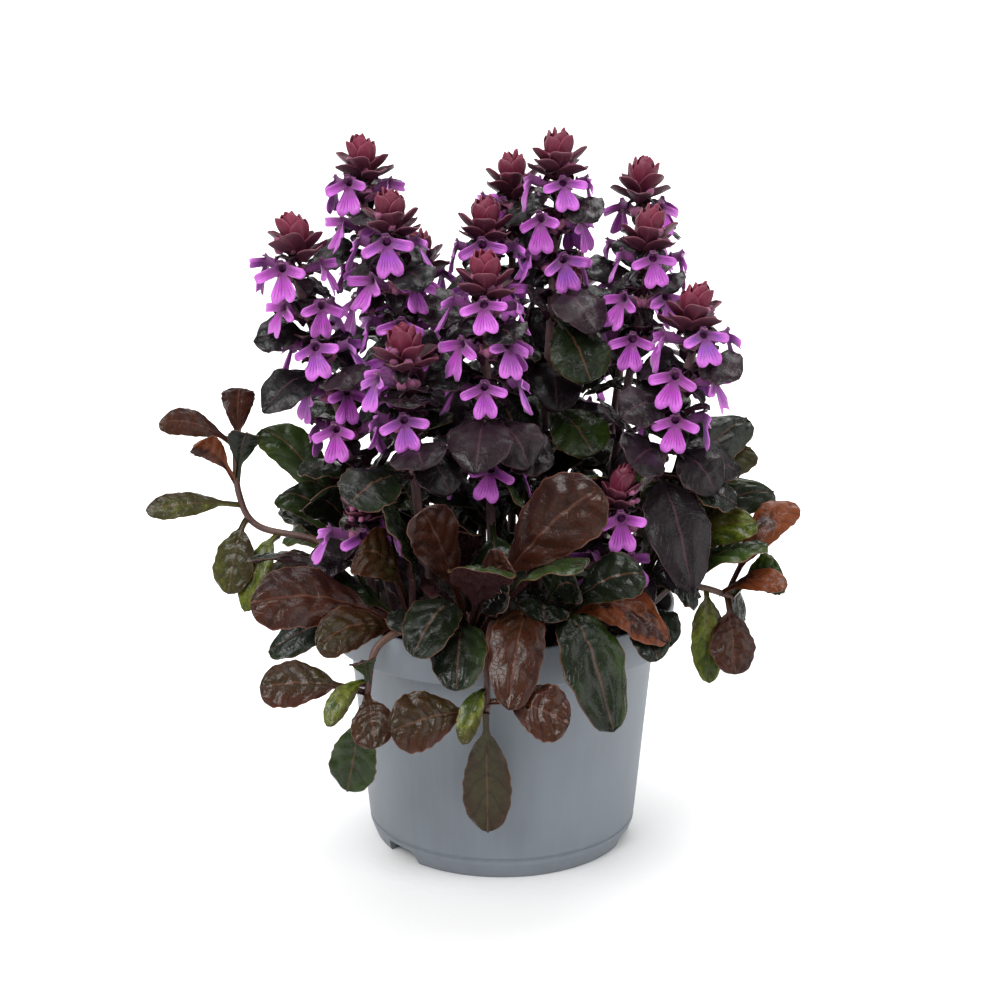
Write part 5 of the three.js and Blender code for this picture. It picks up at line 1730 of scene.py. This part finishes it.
class BugleweedLooks(bpy.types.PropertyGroup):
    """Colours and sizes of the pot, the soil, the flowers and the stage."""

    plastic: colour_setting("Plastic", "Colour of the pot", (0.158, 0.180, 0.205))
    compost: colour_setting("Compost", "Darkest colour of the soil", (0.014, 0.009, 0.006))
    crumbs: IntProperty(name="Crumbs", description="How many crumbs lie on the soil", default=420, min=0)
    petal: colour_setting("Petal", "Colour of the petals", (0.50, 0.035, 0.53))
    petal_blue: colour_setting("Bluer petal", "Colour of the bluest petals", (0.24, 0.06, 0.50))
    petal_edge: colour_setting("Petal edge", "Colour at their edges", (0.64, 0.15, 0.68))
    # the throat colour also paints the shade inside the flowers' tubes and on the plugs that close them
    throat: colour_setting("Throat", "Colour of the throat and veins", (0.14, 0.006, 0.12))
    floor: colour_setting("Floor", "Colour of the floor", (0.9, 0.9, 0.9))
    daylight: FloatProperty(
        name="Daylight", description="Strength of the light from all sides", default=0.4, min=0
    )
    key_light: FloatProperty(
        name="Key light",
        description="Power of the light from the front left",
        default=34.0,
        min=0,
        unit="POWER",
    )
    backdrop_light: FloatProperty(
        name="Backdrop light",
        description="Power of the light on the backdrop",
        default=60.0,
        min=0,
        unit="POWER",
    )
    lens: FloatProperty(
        name="Lens", description="Focal length of the camera", default=55.4, min=1, unit="CAMERA"
    )


class PlantOperator:
    """What the operators that grow parts of the plant share."""

    bl_options = {"REGISTER"}
    forms = None
    finishes = None

    @classmethod
    def prepared(cls):
        """The forms and materials, made at the first call."""
        if PlantOperator.forms is None:
            PlantOperator.forms = Forms()
            PlantOperator.finishes = plant_materials(bpy.context.scene.bugleweed)
        return PlantOperator.forms, PlantOperator.finishes


class BUGLEWEED_OT_pot(bpy.types.Operator):
    """Model the nursery pot"""

    bl_idname = "bugleweed.pot"
    bl_label = "Nursery Pot"

    def execute(self, context):
        build_pot(pot_material(context.scene.bugleweed))
        return {"FINISHED"}


class BUGLEWEED_OT_soil(bpy.types.Operator):
    """Model the compost and its crumbs"""

    bl_idname = "bugleweed.soil"
    bl_label = "Compost"

    def execute(self, context):
        looks = context.scene.bugleweed
        build_soil(compost_material(looks), looks.crumbs)
        return {"FINISHED"}


class BUGLEWEED_OT_flowering_stems(PlantOperator, bpy.types.Operator):
    """Model the flowering stems with their flowers, bracts and buds"""

    bl_idname = "bugleweed.flowering_stems"
    bl_label = "Flowering Stems"

    def execute(self, context):
        forms, finishes = self.prepared()
        for plant, random in lay_out(FLOWERING_STEMS, "flowering_stem", lay_out_stem, STEM_SEED):
            build_flowering_stem(plant, forms, finishes, random)
        return {"FINISHED"}


class BUGLEWEED_OT_crowns(PlantOperator, bpy.types.Operator):
    """Model the leafy crowns"""

    bl_idname = "bugleweed.crowns"
    bl_label = "Leafy Crowns"

    def execute(self, context):
        forms, finishes = self.prepared()
        for plant, random in lay_out(CROWNS, "leafy_crown", lay_out_crown, CROWN_SEED):
            build_leafy(plant, forms, finishes, random, (1, 0, 0), CROWN_SHADES)
        return {"FINISHED"}


class BUGLEWEED_OT_runners(PlantOperator, bpy.types.Operator):
    """Model the runners with their leaves"""

    bl_idname = "bugleweed.runners"
    bl_label = "Runners"

    def execute(self, context):
        forms, finishes = self.prepared()
        for plant, random in lay_out(RUNNERS, "runner", lay_out_runner, RUNNER_SEED):
            across = plant["stalk"].axes(0)[0]
            build_leafy(plant, forms, finishes, random, across, RUNNER_SHADES)
        return {"FINISHED"}


class BUGLEWEED_OT_stage(bpy.types.Operator):
    """Set up the floor, the lights and the camera"""

    bl_idname = "bugleweed.stage"
    bl_label = "Stage"

    def execute(self, context):
        build_stage(context.scene.bugleweed)
        return {"FINISHED"}


class BUGLEWEED_PT_parts(bpy.types.Panel):
    """Lists the parts of the bugleweed and its settings"""

    bl_idname = "BUGLEWEED_PT_parts"
    bl_label = "Potted Bugleweed"
    bl_space_type = "VIEW_3D"
    bl_region_type = "UI"
    bl_category = "Bugleweed"

    def draw(self, context):
        for name in BugleweedLooks.__annotations__:
            self.layout.prop(context.scene.bugleweed, name)
        for operator in OPERATORS:
            self.layout.operator(operator.bl_idname)


OPERATORS = (
    BUGLEWEED_OT_pot,
    BUGLEWEED_OT_soil,
    BUGLEWEED_OT_crowns,
    BUGLEWEED_OT_runners,
    BUGLEWEED_OT_flowering_stems,
    BUGLEWEED_OT_stage,
)
CLASSES = (BugleweedLooks, *OPERATORS, BUGLEWEED_PT_parts)


def register():
    for each in CLASSES:
        bpy.utils.register_class(each)
    bpy.types.Scene.bugleweed = PointerProperty(type=BugleweedLooks)


def unregister():
    del bpy.types.Scene.bugleweed
    for each in reversed(CLASSES):
        bpy.utils.unregister_class(each)


def main():
    register()
    bpy.ops.bugleweed.pot()
    bpy.ops.bugleweed.soil()
    bpy.ops.bugleweed.crowns()
    bpy.ops.bugleweed.runners()
    bpy.ops.bugleweed.flowering_stems()
    bpy.ops.bugleweed.stage()


if __name__ == "__main__":
    main()
